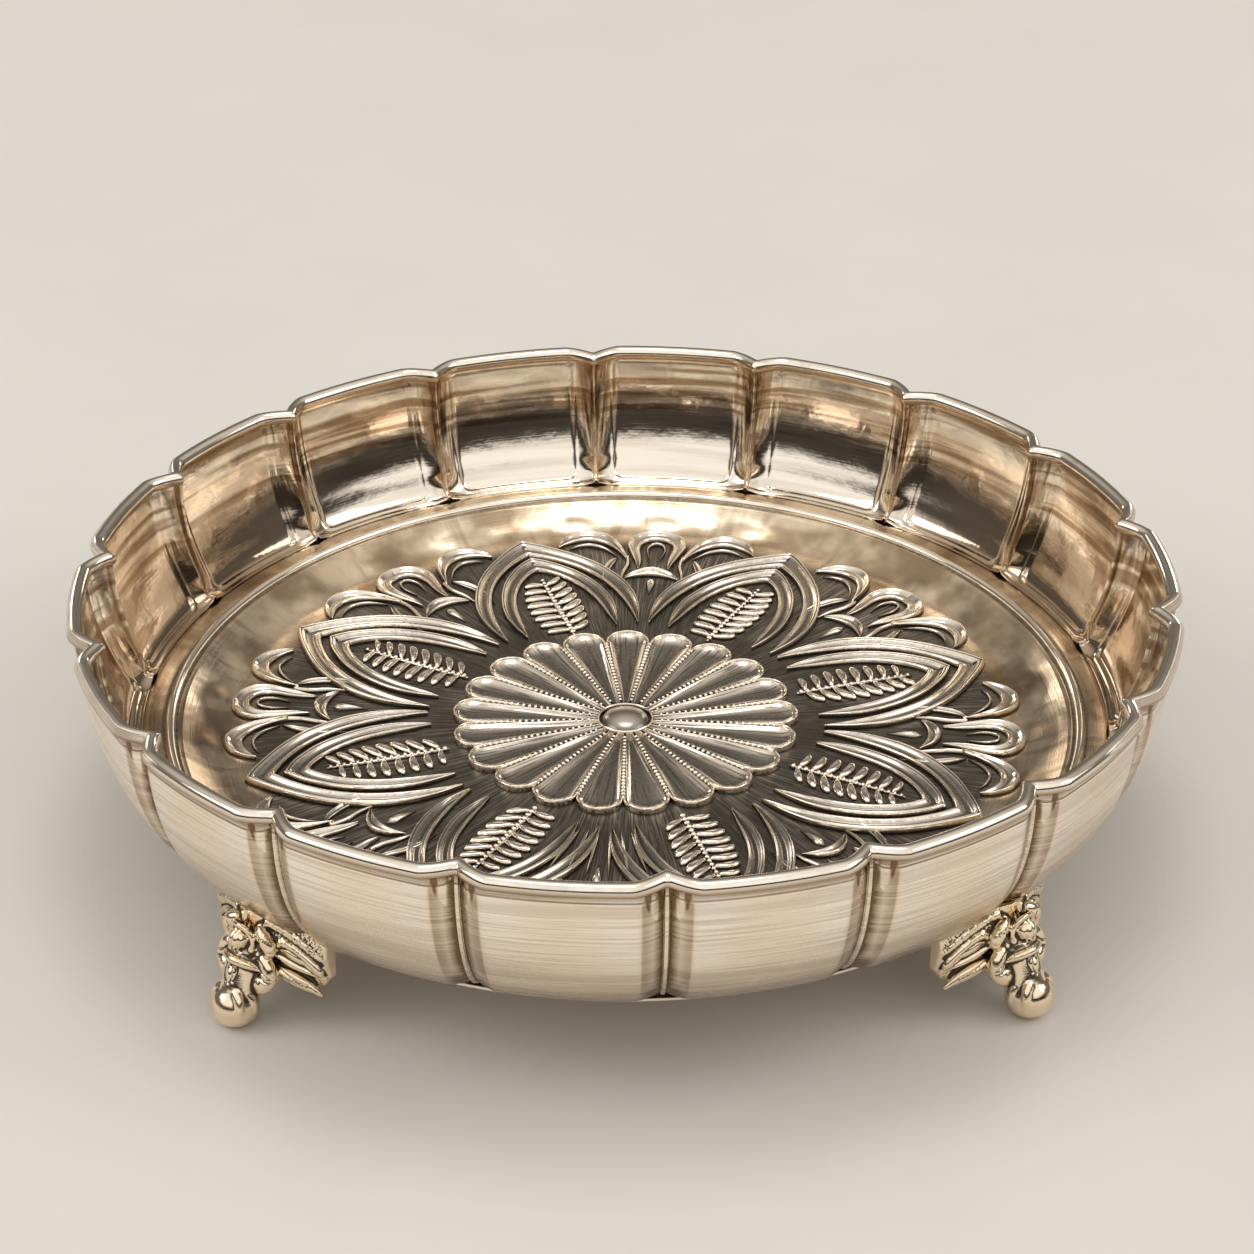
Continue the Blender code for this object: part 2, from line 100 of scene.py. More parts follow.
class FloorSizes(bpy.types.PropertyGroup):
    band_level: length("Band level", "Top of the flat band above the table", 0.0276)
    ground_level: length("Ground level", "Ground of the ornament above the table", 0.0229)
    band_radius: length("Band radius", "Inner edge of the flat band", 0.1030)
    ground_radius: length("Ground radius", "Edge of the ornament's ground", 0.0920)
    wire_radius: length("Wire radius", "Centre line of the raised wire", 0.1055)
    leaves: IntProperty(name="Leaves", description="Pointed leaves round the floor", default=8, min=3)
    leaf_turn: turn("Leaf turn", "Azimuth of the first leaf", radians(16.0))
    petals: IntProperty(name="Petals", description="Petals of the rosette", default=21, min=5)
    petal_turn: turn("Petal turn", "Azimuth of the first rib between petals", radians(268.0))
    rib_beads: IntProperty(name="Rib beads", description="Beads along each rib", default=19, min=2)
    leaflets: IntProperty(name="Leaflets", description="Leaflet pairs of a fern", default=8, min=2)
    boss_radius: length("Boss radius", "Radius of the centre boss", 0.0057)


class FootSizes(bpy.types.PropertyGroup):
    ridge_radius: length("Ridge radius", "Outer ridge of the bracket from the axis", 0.1162)
    toe_place: length("Toe place", "Centre of the ball toe from the axis", 0.1215)
    wing_width: length("Wing width", "Half the width of the bracket", 0.0175)
    voxel: length("Grain", "Mesh size of the casting", 0.00028)


class Finishes(bpy.types.PropertyGroup):
    satin: colour("Satin silver", "Brushed outside of the wall", (0.98, 0.84, 0.68))
    bright: colour("Bright silver", "Polished lip, panels and relief", (0.96, 0.875, 0.755))
    slope: colour("Dish slope", "Brushed slope round the ornament", (0.80, 0.66, 0.49))
    tarnish: colour("Tarnish", "Oxidised recesses", (0.085, 0.070, 0.055))
    cast: colour("Cast silver", "Polished castings of the feet", (0.95, 0.79, 0.58))
    table: colour("Table", "Plain floor under the plate", (0.74, 0.71, 0.67))


class StageSizes(bpy.types.PropertyGroup):
    lens: FloatProperty(name="Lens", description="Focal length in millimetres", default=102.3, min=1.0)
    camera_x: length("Camera across", "Camera place along X", -0.0137)
    camera_y: length("Camera back", "Camera place along Y", -0.7132)
    camera_z: length("Camera height", "Camera place along Z", 0.4540)
    tilt: turn("Tilt", "Camera tilt from straight down", radians(60.38))
    heading: turn("Heading", "Camera heading from +Y", radians(-1.13))
    table_radius: length("Table radius", "Radius of the plain floor", 4.0)


# ---------------------------------------------------------------- meshes


def make_object(name, points, faces):
    mesh = bpy.data.meshes.new(name)
    mesh.from_pydata([tuple(p) for p in points], [], [tuple(f) for f in faces])
    obj = bpy.data.objects.new(name, mesh)
    bpy.context.scene.collection.objects.link(obj)
    return obj


def grid_faces(rows, columns, wrap_rows=False, wrap_columns=False, first=0):
    """Quads over a grid of points that are numbered row by row."""
    r = np.arange(rows if wrap_rows else rows - 1)
    c = np.arange(columns if wrap_columns else columns - 1)
    r, c = (grid.ravel() for grid in np.meshgrid(r, c, indexing="ij"))
    up, right = (r + 1) % rows, (c + 1) % columns
    corners = r * columns + c, r * columns + right, up * columns + right, up * columns + c
    return (np.stack(corners, 1) + first).tolist()


def joined(parts):
    """Joins (points, faces) parts into one."""
    points, faces = [], []
    for part_points, part_faces in parts:
        first = len(points)
        points.extend(part_points)
        faces.extend([index + first for index in face] for face in part_faces)
    return points, faces


def mirrored(part):
    """The part on the other side of the XZ plane, turned right way out."""
    points, faces = part
    return [(x, -y, z) for x, y, z in points], [face[::-1] for face in faces]


def unit(value):
    """The value, held between 0 and 1."""
    return np.clip(value, 0.0, 1.0)


def smoothstep(low, high, value):
    share = unit((value - low) / (high - low))
    return share * share * (3.0 - 2.0 * share)


def bell(value, centre, width):
    return np.exp(-(((value - centre) / width) ** 2))


def two_sided(half):
    """Values from 0 up, with the same ones below 0 in front of them."""
    return np.array([-value for value in half[:0:-1]] + half)


def round_angles(columns):
    return np.arange(columns) * 2.0 * pi / columns


def spline(stations, count):
    """A smooth path through stations, which hold any number of values each."""
    stations = np.asarray(stations, float)
    ends = np.vstack([2 * stations[0] - stations[1], stations, 2 * stations[-1] - stations[-2]])
    path = []
    spans = len(stations) - 1
    for share in np.linspace(0.0, spans, count):
        i = min(int(share), spans - 1)
        t = share - i
        a, b, c, d = ends[i : i + 4]
        bend = 2 * b + (c - a) * t + (2 * a - 5 * b + 4 * c - d) * t**2 + (3 * b - a - 3 * c + d) * t**3
        path.append(0.5 * bend)
    return np.array(path)


def swept(section, columns):
    """The points of a (radius, height) section all round the axis."""
    angles = round_angles(columns)
    return [(radius * cos(a), radius * sin(a), height) for radius, height in section for a in angles]


def revolved(section, columns):
    """A closed ring from (radius, height) points, listed clockwise seen with the axis on the left."""
    return swept(section, columns), grid_faces(len(section), columns, wrap_rows=True, wrap_columns=True)


def turned(profile, columns):
    """A solid of revolution whose profile starts and ends on the axis, from the top down."""
    inner = profile[1:-1]
    points = [(0.0, 0.0, profile[0][1]), *swept(inner, columns), (0.0, 0.0, profile[-1][1])]
    faces = [quad[::-1] for quad in grid_faces(len(inner), columns, wrap_columns=True, first=1)]
    last = 1 + (len(inner) - 1) * columns
    for i in range(columns):
        k = (i + 1) % columns
        faces += [(0, 1 + i, 1 + k), (len(points) - 1, last + k, last + i)]
    return points, faces


def egg(centre, radii, rows=10, columns=18):
    """A closed ellipsoid."""
    tilts = [pi * i / rows for i in range(rows + 1)]
    points, faces = turned([(sin(tilt), cos(tilt)) for tilt in tilts], columns)
    return [tuple(point) for point in np.array(centre) + np.array(radii) * points], faces


def closed_band(outer, inner, heights, section, ground):
    """A raised band between two edges in plan; section is (share across, share of the height)."""
    points = []
    for start, end, height in zip(outer, inner, heights):
        for across, up in section:
            x, y = start + (end - start) * across
            points.append((x, y, ground(np.hypot(x, y)) + height * up))
    width = len(section)
    faces = grid_faces(len(outer), width, wrap_columns=True)
    return points, faces + [list(range(width)), list(range(len(points) - width, len(points)))[::-1]]


def ridge(rows, count, section, ground):
    """A raised ridge through rows of x, y, half width and height in millimetres."""
    path = spline(np.array(rows, float) * MM, count)
    along = np.gradient(path[:, :2], axis=0)
    along /= np.maximum(np.linalg.norm(along, axis=1, keepdims=True), 1e-9)
    aside = np.stack([along[:, 1], -along[:, 0]], 1) * path[:, 2:3]
    return closed_band(path[:, :2] + aside, path[:, :2] - aside, path[:, 3], section, ground)


def tube(path, sides=12):
    """A closed tube along path, whose rows are x, y, z and radius."""
    path = np.asarray(path, float)
    along = np.gradient(path[:, :3], axis=0)
    along /= np.linalg.norm(along, axis=1, keepdims=True)
    points = []
    side = np.array([0.31, 0.87, 0.38])  # any way that no path runs
    for centre, direction in zip(path, along):
        side = side - direction * side.dot(direction)
        side /= np.linalg.norm(side)
        other = np.cross(direction, side)
        for angle in round_angles(sides):
            points.append(tuple(centre[:3] + centre[3] * (cos(angle) * side + sin(angle) * other)))
    faces = grid_faces(len(path), sides, wrap_columns=True)
    return points, faces + [list(range(sides))[::-1], list(range(len(points) - sides, len(points)))]


def mesh_arrays(mesh):
    """The places and normals of a mesh's points, and the two ends of each edge."""
    places, normals = np.empty(len(mesh.vertices) * 3), np.empty(len(mesh.vertices) * 3)
    mesh.vertices.foreach_get("co", places)
    mesh.vertices.foreach_get("normal", normals)
    ends = np.empty(len(mesh.edges) * 2, int)
    mesh.edges.foreach_get("vertices", ends)
    return places.reshape(-1, 3), normals.reshape(-1, 3), ends.reshape(-1, 2)


def fold_depth(mesh):
    """How deep in a fold each point lies: 0 on ridges, 1 in grooves."""
    place, normal, ends = mesh_arrays(mesh)
    span = place[ends[:, 1]] - place[ends[:, 0]]
    span /= np.maximum(np.linalg.norm(span, axis=1, keepdims=True), 1e-9)
    total = np.zeros(len(place))
    np.add.at(total, ends[:, 0], (span * normal[ends[:, 0]]).sum(1))
    np.add.at(total, ends[:, 1], -(span * normal[ends[:, 1]]).sum(1))
    total /= np.maximum(np.bincount(ends.ravel(), minlength=len(place)), 1)
    return unit(2.2 * total)


def hollow_depth(mesh):
    """0 on ridges, 1 down in hollows, from how far a point lies under its smoothed surroundings."""
    place, normal, ends = mesh_arrays(mesh)
    place = place / MM
    near = np.bincount(ends.ravel(), minlength=len(place))[:, None]
    soft = place.copy()
    total = np.zeros(len(place))
    for rounds in (6, 14):
        for _ in range(rounds):
            gathered = np.zeros_like(soft)
            np.add.at(gathered, ends[:, 0], soft[ends[:, 1]])
            np.add.at(gathered, ends[:, 1], soft[ends[:, 0]])
            soft = gathered / near
        total += ((soft - place) * normal).sum(1)
    return unit(0.37 + 1.4 * total)


def mark(mesh, values, name="hollow"):
    """Stores an attribute, given for the mesh's first points; it is 0 at the others."""
    marks = np.zeros(len(mesh.vertices), np.float32)
    marks[: np.size(values)] = np.ravel(values)
    mesh.attributes.new(name, "FLOAT", "POINT").data.foreach_set("value", marks)


def face_outwards(mesh):
    """Turns every closed part of a mesh right way out."""
    build = bmesh.new()
    build.from_mesh(mesh)
    bmesh.ops.recalc_face_normals(build, faces=build.faces)
    build.to_mesh(mesh)
    build.free()


# ---------------------------------------------------------------- nodes


class Wire:
    """A node's output. Arithmetic on it adds Math nodes to its tree."""

    def __init__(self, nodes, socket):
        self.nodes, self.socket = nodes, socket

    def __add__(self, other):
        return self.nodes.math("ADD", self, other)

    def __sub__(self, other):
        return self.nodes.math("SUBTRACT", self, other)

    def __rsub__(self, other):
        return self.nodes.math("SUBTRACT", other, self)

    def __mul__(self, other):
        return self.nodes.math("MULTIPLY", self, other)

    def __truediv__(self, other):
        return self.nodes.math("DIVIDE", self, other)

    def __rtruediv__(self, other):
        return self.nodes.math("DIVIDE", other, self)

    def __abs__(self):
        return self.nodes.math("ABSOLUTE", self)


class Outputs:
    """The outputs of a node, by name or number."""

    def __init__(self, nodes, node):
        self.nodes, self.node = nodes, node

    def __getitem__(self, key):
        return Wire(self.nodes, self.node.outputs[key])


class Nodes:
    """Adds nodes to a tree. In the names of sockets an underscore stands for a space."""

    def __init__(self, tree):
        self.tree = tree

    def link(self, value, socket):
        if isinstance(value, Wire):
            self.tree.links.new(value.socket, socket)
        else:
            socket.default_value = value

    def node(self, kind, settings=None, **inputs):
        """Adds a node and returns its outputs."""
        node = self.tree.nodes.new(kind)
        for key, value in (settings or {}).items():
            setattr(node, key, value)
        for key, value in inputs.items():
            self.link(value, node.inputs[key.replace("_", " ")])
        return Outputs(self, node)

    def math(self, operation, first, second=0.0):
        outputs = self.node("ShaderNodeMath", {"operation": operation})
        self.link(first, outputs.node.inputs[0])
        self.link(second, outputs.node.inputs[1])
        return outputs[0]

    def highest(self, *values):
        return reduce(partial(self.math, "MAXIMUM"), values)

    def vector(self, x, y, z):
        return self.node("ShaderNodeCombineXYZ", X=x, Y=y, Z=z)[0]


def made_once(name):
    """Decorator: the function makes the node group of this name, unless it is there."""
    return lambda make: lambda: bpy.data.node_groups.get(name) or make(name)


class Tree(Nodes):
    """A geometry node group for a modifier, with the labels of its whole and its real inputs."""

    def __init__(self, name, whole, real):
        super().__init__(bpy.data.node_groups.new(name, "GeometryNodeTree"))
        sockets = self.tree.interface
        sockets.new_socket("Geometry", in_out="OUTPUT", socket_type="NodeSocketGeometry")
        labels = {"Geometry": "Geometry", **dict.fromkeys(whole, "Int"), **dict.fromkeys(real, "Float")}
        for label, kind in (labels | {"Material": "Material"}).items():
            sockets.new_socket(label, in_out="INPUT", socket_type="NodeSocket" + kind)
        self.given = Outputs(self, self.tree.nodes.new("NodeGroupInput"))
        self.index = self.node("GeometryNodeInputIndex")[0]

    def polar(self, count, radius, angle):
        """Points at a radius, an angle and the given level."""
        where = radius * self.math("COSINE", angle), radius * self.math("SINE", angle), self.given["Level"]
        points = self.node("GeometryNodePoints", Count=count)[0]
        return self.node("GeometryNodeSetPosition", Geometry=points, Position=self.vector(*where))[0]

    def close_on(self, points, angle, **more):
        """Puts the given geometry on the points, turned about Z, and closes the group."""
        rotation = self.vector(0.0, 0.0, angle)
        shape = self.given["Geometry"]
        kind = "GeometryNodeInstanceOnPoints"
        return self.close(self.node(kind, Points=points, Instance=shape, Rotation=rotation, **more)[0])

    def close(self, geometry):
        """Realize Instances, smooth shading and Set Material, then the group's output."""
        geometry = self.node("GeometryNodeRealizeInstances", Geometry=geometry)[0]
        geometry = self.node("GeometryNodeMergeByDistance", Geometry=geometry, Distance=0.002 * MM)[0]
        geometry = self.node("GeometryNodeSetShadeSmooth", Geometry=geometry)[0]
        material = self.given["Material"]
        geometry = self.node("GeometryNodeSetMaterial", Geometry=geometry, Material=material)[0]
        self.node("NodeGroupOutput", Geometry=geometry)
        return self.tree


@made_once("Round the axis")
def round_the_axis(name):
    """The incoming shape, repeated evenly round the plate's axis."""
    tree = Tree(name, ["Count"], ["First turn"])
    count = tree.given["Count"]
    angle = tree.index * (2.0 * pi / count) + tree.given["First turn"]
    return tree.close_on(tree.node("GeometryNodePoints", Count=count)[0], angle)


@made_once("Beads on ribs")
def beads_on_ribs(name):
    """The incoming bead, set in rows along ribs that run out from the axis."""
    ends = ["First radius", "Last radius", "Level", "First size", "Last size"]
    tree = Tree(name, ["Ribs", "Beads"], ["First turn"] + ends)
    given, beads = tree.given, tree.given["Beads"]
    rib = tree.math("FLOOR", (tree.index + 0.5) / beads)
    share = (tree.index - rib * beads) / (beads - 1.0)
    radius, size = (
        given["First " + key] + (given["Last " + key] - given["First " + key]) * share
        for key in ("radius", "size")
    )
    angle = rib * (2.0 * pi / given["Ribs"]) + given["First turn"]
    points = tree.polar(given["Ribs"] * beads, radius, angle)
    return tree.close_on(points, angle, Scale=tree.vector(size, size, size))


@made_once("Leaflets on stems")
def leaflets_on_stems(name):
    """The incoming leaflet, set in pairs along stems that run out from the axis."""
    tree = Tree(name, ["Stems", "Pairs"], ["First turn", "First radius", "Last radius", "Lean", "Level"])
    given = tree.given
    each = given["Pairs"] * 2.0
    stem = tree.math("FLOOR", (tree.index + 0.5) / each)
    place = tree.index - stem * each
    share = tree.math("FLOOR", (place + 0.5) / 2.0) / (given["Pairs"] - 1.0)
    side = tree.math("MODULO", place, 2.0) * 2.0 - 1.0
    radius = given["First radius"] + (given["Last radius"] - given["First radius"]) * share
    angle = stem * (2.0 * pi / given["Stems"]) + given["First turn"]
    points = tree.polar(each * given["Stems"], radius, angle)
    middle = share - 0.45
    size = 1.0 - middle * middle
    return tree.close_on(points, angle + side * given["Lean"], Scale=tree.vector(size, size, 1.0))


@made_once("Folded at the grooves")
def folded_at_grooves(name):
    """Draws an even ring inwards at each groove between two lobes."""
    labels = ["First turn", "Flat share", "Outer notch", "Inner notch", "Outer radius", "Width", "Curve"]
    tree = Tree(name, ["Lobes"], labels)
    given = tree.given
    place = tree.node("ShaderNodeSeparateXYZ", Vector=tree.node("GeometryNodeInputPosition")[0])
    x, y = place["X"], place["Y"]
    radius = tree.math("SQRT", tree.math("POWER", x, 2.0) + tree.math("POWER", y, 2.0))
    offset = tree.math("ARCTAN2", y, x) - given["First turn"] + 4.5 * pi
    across = abs(tree.math("FRACT", offset / (2.0 * pi / given["Lobes"])) - 0.5) * 2.0
    share = tree.highest(across - given["Flat share"], 0.0) / (1.0 - given["Flat share"])
    inward = (given["Outer radius"] - radius) / given["Width"]
    notch = given["Outer notch"] + (given["Inner notch"] - given["Outer notch"]) * inward
    scale = 1.0 - notch * tree.math("POWER", share, given["Curve"]) / radius
    folded = tree.vector(x * scale, y * scale, place["Z"])
    return tree.close(tree.node("GeometryNodeSetPosition", Geometry=given["Geometry"], Position=folded)[0])


def grown(obj, group, **values):
    """Runs a node group on the object and keeps the result as its plain mesh."""
    modifier = obj.modifiers.new("grow", "NODES")
    modifier.node_group = group
    sockets = {item.name: item for item in group.interface.items_tree if item.in_out == "INPUT"}
    for key, value in values.items():
        modifier[sockets[key.replace("_", " ")].identifier] = value
    graph = bpy.context.evaluated_depsgraph_get()
    mesh = bpy.data.meshes.new_from_object(obj.evaluated_get(graph))
    obj.modifiers.clear()
    obj.data = mesh
    mesh.name = obj.name
    if not len(mesh.polygons):
        raise RuntimeError(f"{obj.name} came out empty")


def piece(obj, node, material=None, sharp=None):
    """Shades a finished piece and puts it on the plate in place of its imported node."""
    mesh = obj.data
    if material is not None:
        mesh.materials.clear()
        mesh.materials.append(material)
    face_outwards(mesh)
    mesh.shade_smooth()
    if sharp:
        mesh.set_sharp_from_angle(angle=radians(sharp))
    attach(obj, "root")
    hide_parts(node)


# ---------------------------------------------------------------- finishes

# Darker tints that the wall, panels, lip and slope take on, and the tint of the wall's painted highlight; on
# the wall, panels and lip the darker tint carries painted shade as well as streaks, wear and milling
PAINTED_HIGHLIGHT_TINT = (1.0, 0.94, 0.86, 1.0)
WALL_SHADE_AND_STREAKS = (0.20, 0.125, 0.068, 1.0)
PANEL_SHADE_AND_STREAKS = (0.34, 0.225, 0.125, 1.0)
LIP_SHADE_WEAR_AND_MILLING = (0.42, 0.285, 0.17, 1.0)
SLOPE_BROWN = (0.34, 0.245, 0.155, 1.0)


class Shade(Nodes):
    """Adds shader nodes to a material, a world or a group."""

    def place(self):
        return self.node("ShaderNodeTexCoord")["Object"]

    def attribute(self, name):
        return self.node("ShaderNodeAttribute", {"attribute_name": name})["Fac"]

    def noise(self, vector, scale, detail=3.0, roughness=0.5):
        inputs = {"Vector": vector, "Scale": scale, "Detail": detail, "Roughness": roughness}
        return self.node("ShaderNodeTexNoise", {"noise_dimensions": "3D"}, **inputs)["Fac"]

    def ramp(self, value, low, high, out_low=0.0, out_high=1.0):
        """Takes low to out_low and high to out_high, with soft ends."""
        inputs = {"Value": value, "From_Min": low, "From_Max": high, "To_Min": out_low, "To_Max": out_high}
        return self.node("ShaderNodeMapRange", {"interpolation_type": "SMOOTHSTEP"}, **inputs)[0]

    def mix(self, share, first, second):
        """Mixes two colours, whose sockets are the node's seventh and eighth."""
        outputs = self.node("ShaderNodeMix", {"data_type": "RGBA"}, Factor=share)
        self.link(first, outputs.node.inputs[6])
        self.link(second, outputs.node.inputs[7])
        return outputs[2]


class ShaderGroup(Shade):
    """A shader node group, with the values of its inputs."""

    def __init__(self, name, **inputs):
        super().__init__(bpy.data.node_groups.new(name, "ShaderNodeTree"))
        for label, value in inputs.items():
            label = label.replace("_", " ")
            socket = self.tree.interface.new_socket(label, in_out="INPUT", socket_type="NodeSocketFloat")
            socket.default_value = value
        self.given = Outputs(self, self.tree.nodes.new("NodeGroupInput"))

    def close(self, **results):
        for label in results:
            self.tree.interface.new_socket(label, in_out="OUTPUT", socket_type="NodeSocketFloat")
        self.node("NodeGroupOutput", **results)
        return self.tree


@made_once("Place on the plate")
def place_group(name):
    """Azimuth, radius, height and distance from the plate's middle plane of a point."""
    group = ShaderGroup(name)
    parts = group.node("ShaderNodeSeparateXYZ", Vector=group.place())
    x, y = parts["X"], parts["Y"]
    azimuth, radius = group.math("ARCTAN2", y, x), group.math("SQRT", x * x + y * y)
    return group.close(Azimuth=azimuth, Radius=radius, Height=parts["Z"], Aside=abs(x))


@made_once("Brushed lines")
def brushed_group(name):
    """Fine parallel lines, as a wheel or a scouring pad leaves them."""
    group = ShaderGroup(name, Along=0.0, Across=0.0, Line_length=0.02, Line_width=0.0003, Drift=0.15)
    given = group.given
    along, across = given["Along"] / given["Line length"], given["Across"] / given["Line width"]
    wander = group.noise(group.vector(along * 0.35, across * 0.01, 4.0), 1.0, 2.0)
    bent = across + wander * (given["Drift"] * 20.0)
    fine = group.noise(group.vector(along, bent, 0.0), 1.0, 3.0, 0.65)
    broad = group.noise(group.vector(along * 0.4, bent * 0.16, 7.0), 1.0, 2.0)
    return group.close(Lines=fine, Bands=broad)


@made_once("Tarnish")
def tarnish_group(name):
    """Mask is 1 where the silver is left dark, between two levels, broken up by a fine grain."""
    group = ShaderGroup(name, Level=0.0, Dark_below=0.0, Bright_above=1.0, Grain=0.2)
    given = group.given
    grain = group.noise(group.place(), 900.0, 4.0, 0.7)
    share = (given["Level"] - given["Dark below"]) / (given["Bright above"] - given["Dark below"])
    mask = group.ramp(share + (grain - 0.5) * given["Grain"], 0.0, 1.0, 1.0, 0.0)
    return group.close(Mask=mask, Grain=grain)


@made_once("Handling marks")
def wear_group(name):
    """Soft clouds, as handling leaves them."""
    group = ShaderGroup(name, Cloud_size=0.03)
    return group.close(Clouds=group.noise(group.place(), 1.0 / group.given["Cloud size"], 3.0, 0.55))


class Metal(Shade):
    """A silver finish: a Principled shader and the nodes that feed it."""

    def __init__(self, name, tint, roughness):
        self.material = bpy.data.materials.new(name)
        self.material.use_nodes = True
        super().__init__(self.material.node_tree)
        self.inputs = self.tree.nodes["Principled BSDF"].inputs
        self.tint = (*tint, 1.0)
        for key, value in (("Metallic", 1.0), ("Roughness", roughness), ("Base Color", self.tint)):
            self.inputs[key].default_value = value
        place = self.group(place_group)
        self.azimuth, self.radius = place["Azimuth"], place["Radius"]
        self.height, self.aside = place["Height"], place["Aside"]

    def group(self, made, **inputs):
        return self.node("ShaderNodeGroup", {"node_tree": made()}, **inputs)

    def clouds(self, size):
        return self.group(wear_group, Cloud_size=size)["Clouds"]

    def arc(self, radius):
        """Length round the axis, on a circle of this radius."""
        return self.azimuth * radius

    def brushed(self, along, across, line_length, line_width, drift=0.15):
        """Lines that run along one way and are set across another."""
        inputs = {"Along": along, "Across": across, "Line_length": line_length, "Line_width": line_width}
        return self.group(brushed_group, Drift=drift, **inputs)

    def round_the_wall(self, line_length, line_width, drift=0.15):
        """Lines that run level round the plate."""
        return self.brushed(self.arc(0.12), self.height, line_length, line_width, drift)

    def finish(self, tint, rough, *bumps):
        """Links colour, roughness and the bumps: height, strength and distance, the broadest first."""
        self.link(tint, self.inputs["Base Color"])
        self.link(rough, self.inputs["Roughness"])
        for height, strength, distance in bumps:
            node = self.node("ShaderNodeBump", Height=height, Strength=strength, Distance=distance)
            if self.inputs["Normal"].is_linked:
                self.tree.links.new(self.inputs["Normal"].links[0].from_socket, node.node.inputs["Normal"])
            self.link(node[0], self.inputs["Normal"])
        return self.material


def darker(tint, share):
    return (*(value * share for value in tint), 1.0)


def satin_outside(finishes):
    """Outside of the wall: satin, brushed level; painted shade in its folds, under the lip and at the foot,
    and painted highlights.
    """
    metal = Metal("wall_satin", finishes.satin, 0.30)
    ramp, height = metal.ramp, metal.height
    lines, clouds = metal.round_the_wall(0.040, 0.00060), metal.clouds(0.022)
    # painted shade in the folds (above 0) and painted highlights on the lobes (below 0), stored on the mesh
    fold = metal.attribute("hollow")
    streak = metal.highest(
        ramp(lines["Lines"], 0.46, 0.62, 0.0, 0.55), ramp(lines["Bands"], 0.46, 0.66, 0.0, 0.50)
    )
    # painted shadow: darker towards the foot of the wall
    foot = ramp(height, 0.0205, 0.0400, 0.38, 0.0)
    # painted shadow under the lip
    under_lip = ramp(height, 0.0558, 0.0578, 0.0, 0.60)
    line = ramp(abs(height - ENGRAVED_LINE), 0.00010, 0.00040, 0.70, 0.0)
    dark = metal.math("MINIMUM", metal.highest(fold, foot, under_lip, line) + streak * 0.46, 1.0)
    # painted highlight on the lobes, streaked by the brushed lines
    painted_highlight = ramp(fold, -0.9, 0.0, 1.0, 0.0) * ramp(lines["Lines"], 0.38, 0.56, 1.0, 0.25)
    return metal.finish(
        metal.mix(dark, metal.mix(painted_highlight, metal.tint, PAINTED_HIGHLIGHT_TINT), WALL_SHADE_AND_STREAKS),
        ramp(lines["Lines"], 0.3, 0.75, 0.20, 0.34) + ramp(clouds, 0.35, 0.7, -0.03, 0.06),
        (clouds, 0.30, 0.0008),
        (lines["Lines"], 0.60, 0.00012),
    )


def bright_inside(finishes):
    """Inner panels: polished, with level lines left by the wheel; painted shade in the folds, under the lip
    and low down at both sides.
    """
    metal = Metal("polished_panels", finishes.bright, 0.12)
    ramp = metal.ramp
    lines, clouds = metal.round_the_wall(0.022, 0.00045), metal.clouds(0.007)
    # painted shade in the folds between panels, broken up by clouds
    painted_fold_shade = metal.attribute("hollow") * ramp(clouds, 0.40, 0.58, 0.25, 1.0)
    streak = ramp(lines["Bands"], 0.42, 0.62, 0.0, 0.90) * (ramp(metal.height, 0.040, 0.044) * 0.75 + 0.25)
    level = metal.height + ramp(clouds, 0.3, 0.7, -0.0012, 0.0012)
    # painted shade low down on the panels to the left and right
    foot = ramp(metal.aside, 0.055, 0.095, 0.0, 0.75) * ramp(level, 0.0410, 0.0440, 1.0, 0.0)
    # painted shade towards the top, under the lip
    top = ramp(level, 0.0535, 0.0590, 0.0, 0.60)
    return metal.finish(
        metal.mix(metal.highest(streak, painted_fold_shade, foot, top), metal.tint, PANEL_SHADE_AND_STREAKS),
        ramp(lines["Lines"], 0.3, 0.75, 0.05, 0.13),
        (clouds, 0.30, 0.0003),
        (lines["Lines"], 0.18, 0.00005),
    )


def bright_lip(finishes):
    """Lip, wire and collar: bright polish with faint wear and painted shade on the lip's lower half; the lip's
    side lobes are milled.
    """
    if LIP_POLISH in bpy.data.materials:
        return bpy.data.materials[LIP_POLISH]
    metal = Metal(LIP_POLISH, finishes.bright, 0.10)
    ramp, height = metal.ramp, metal.height
    clouds = metal.clouds(0.010)
    milling, lip_radius = 0.00055, 0.127
    steps, level = metal.azimuth * (lip_radius / milling * 2.0 * pi), height * (2.0 * pi / milling)
    knurl = metal.math("SINE", steps + level) * metal.math("SINE", steps - level)
    here = metal.attribute("milled") * ramp(metal.aside, 0.098, 0.108)
    # painted shade on the lip's lower half; the second ramp keeps it off the wire and collar, which lie lower
    low = ramp(height, 0.0584, 0.0602, 1.0, 0.0) * ramp(height, 0.0500, 0.0520)
    worn = ramp(clouds, 0.45, 0.75, 0.0, 0.35)
    dark = metal.highest(low, worn, ramp(knurl, -0.6, 0.5, 0.8, 0.1) * here)
    rough = ramp(clouds, 0.35, 0.7, 0.08, 0.18)
    return metal.finish(metal.mix(dark, metal.tint, LIP_SHADE_WEAR_AND_MILLING), rough, (knurl * here, 0.8, 0.00012))


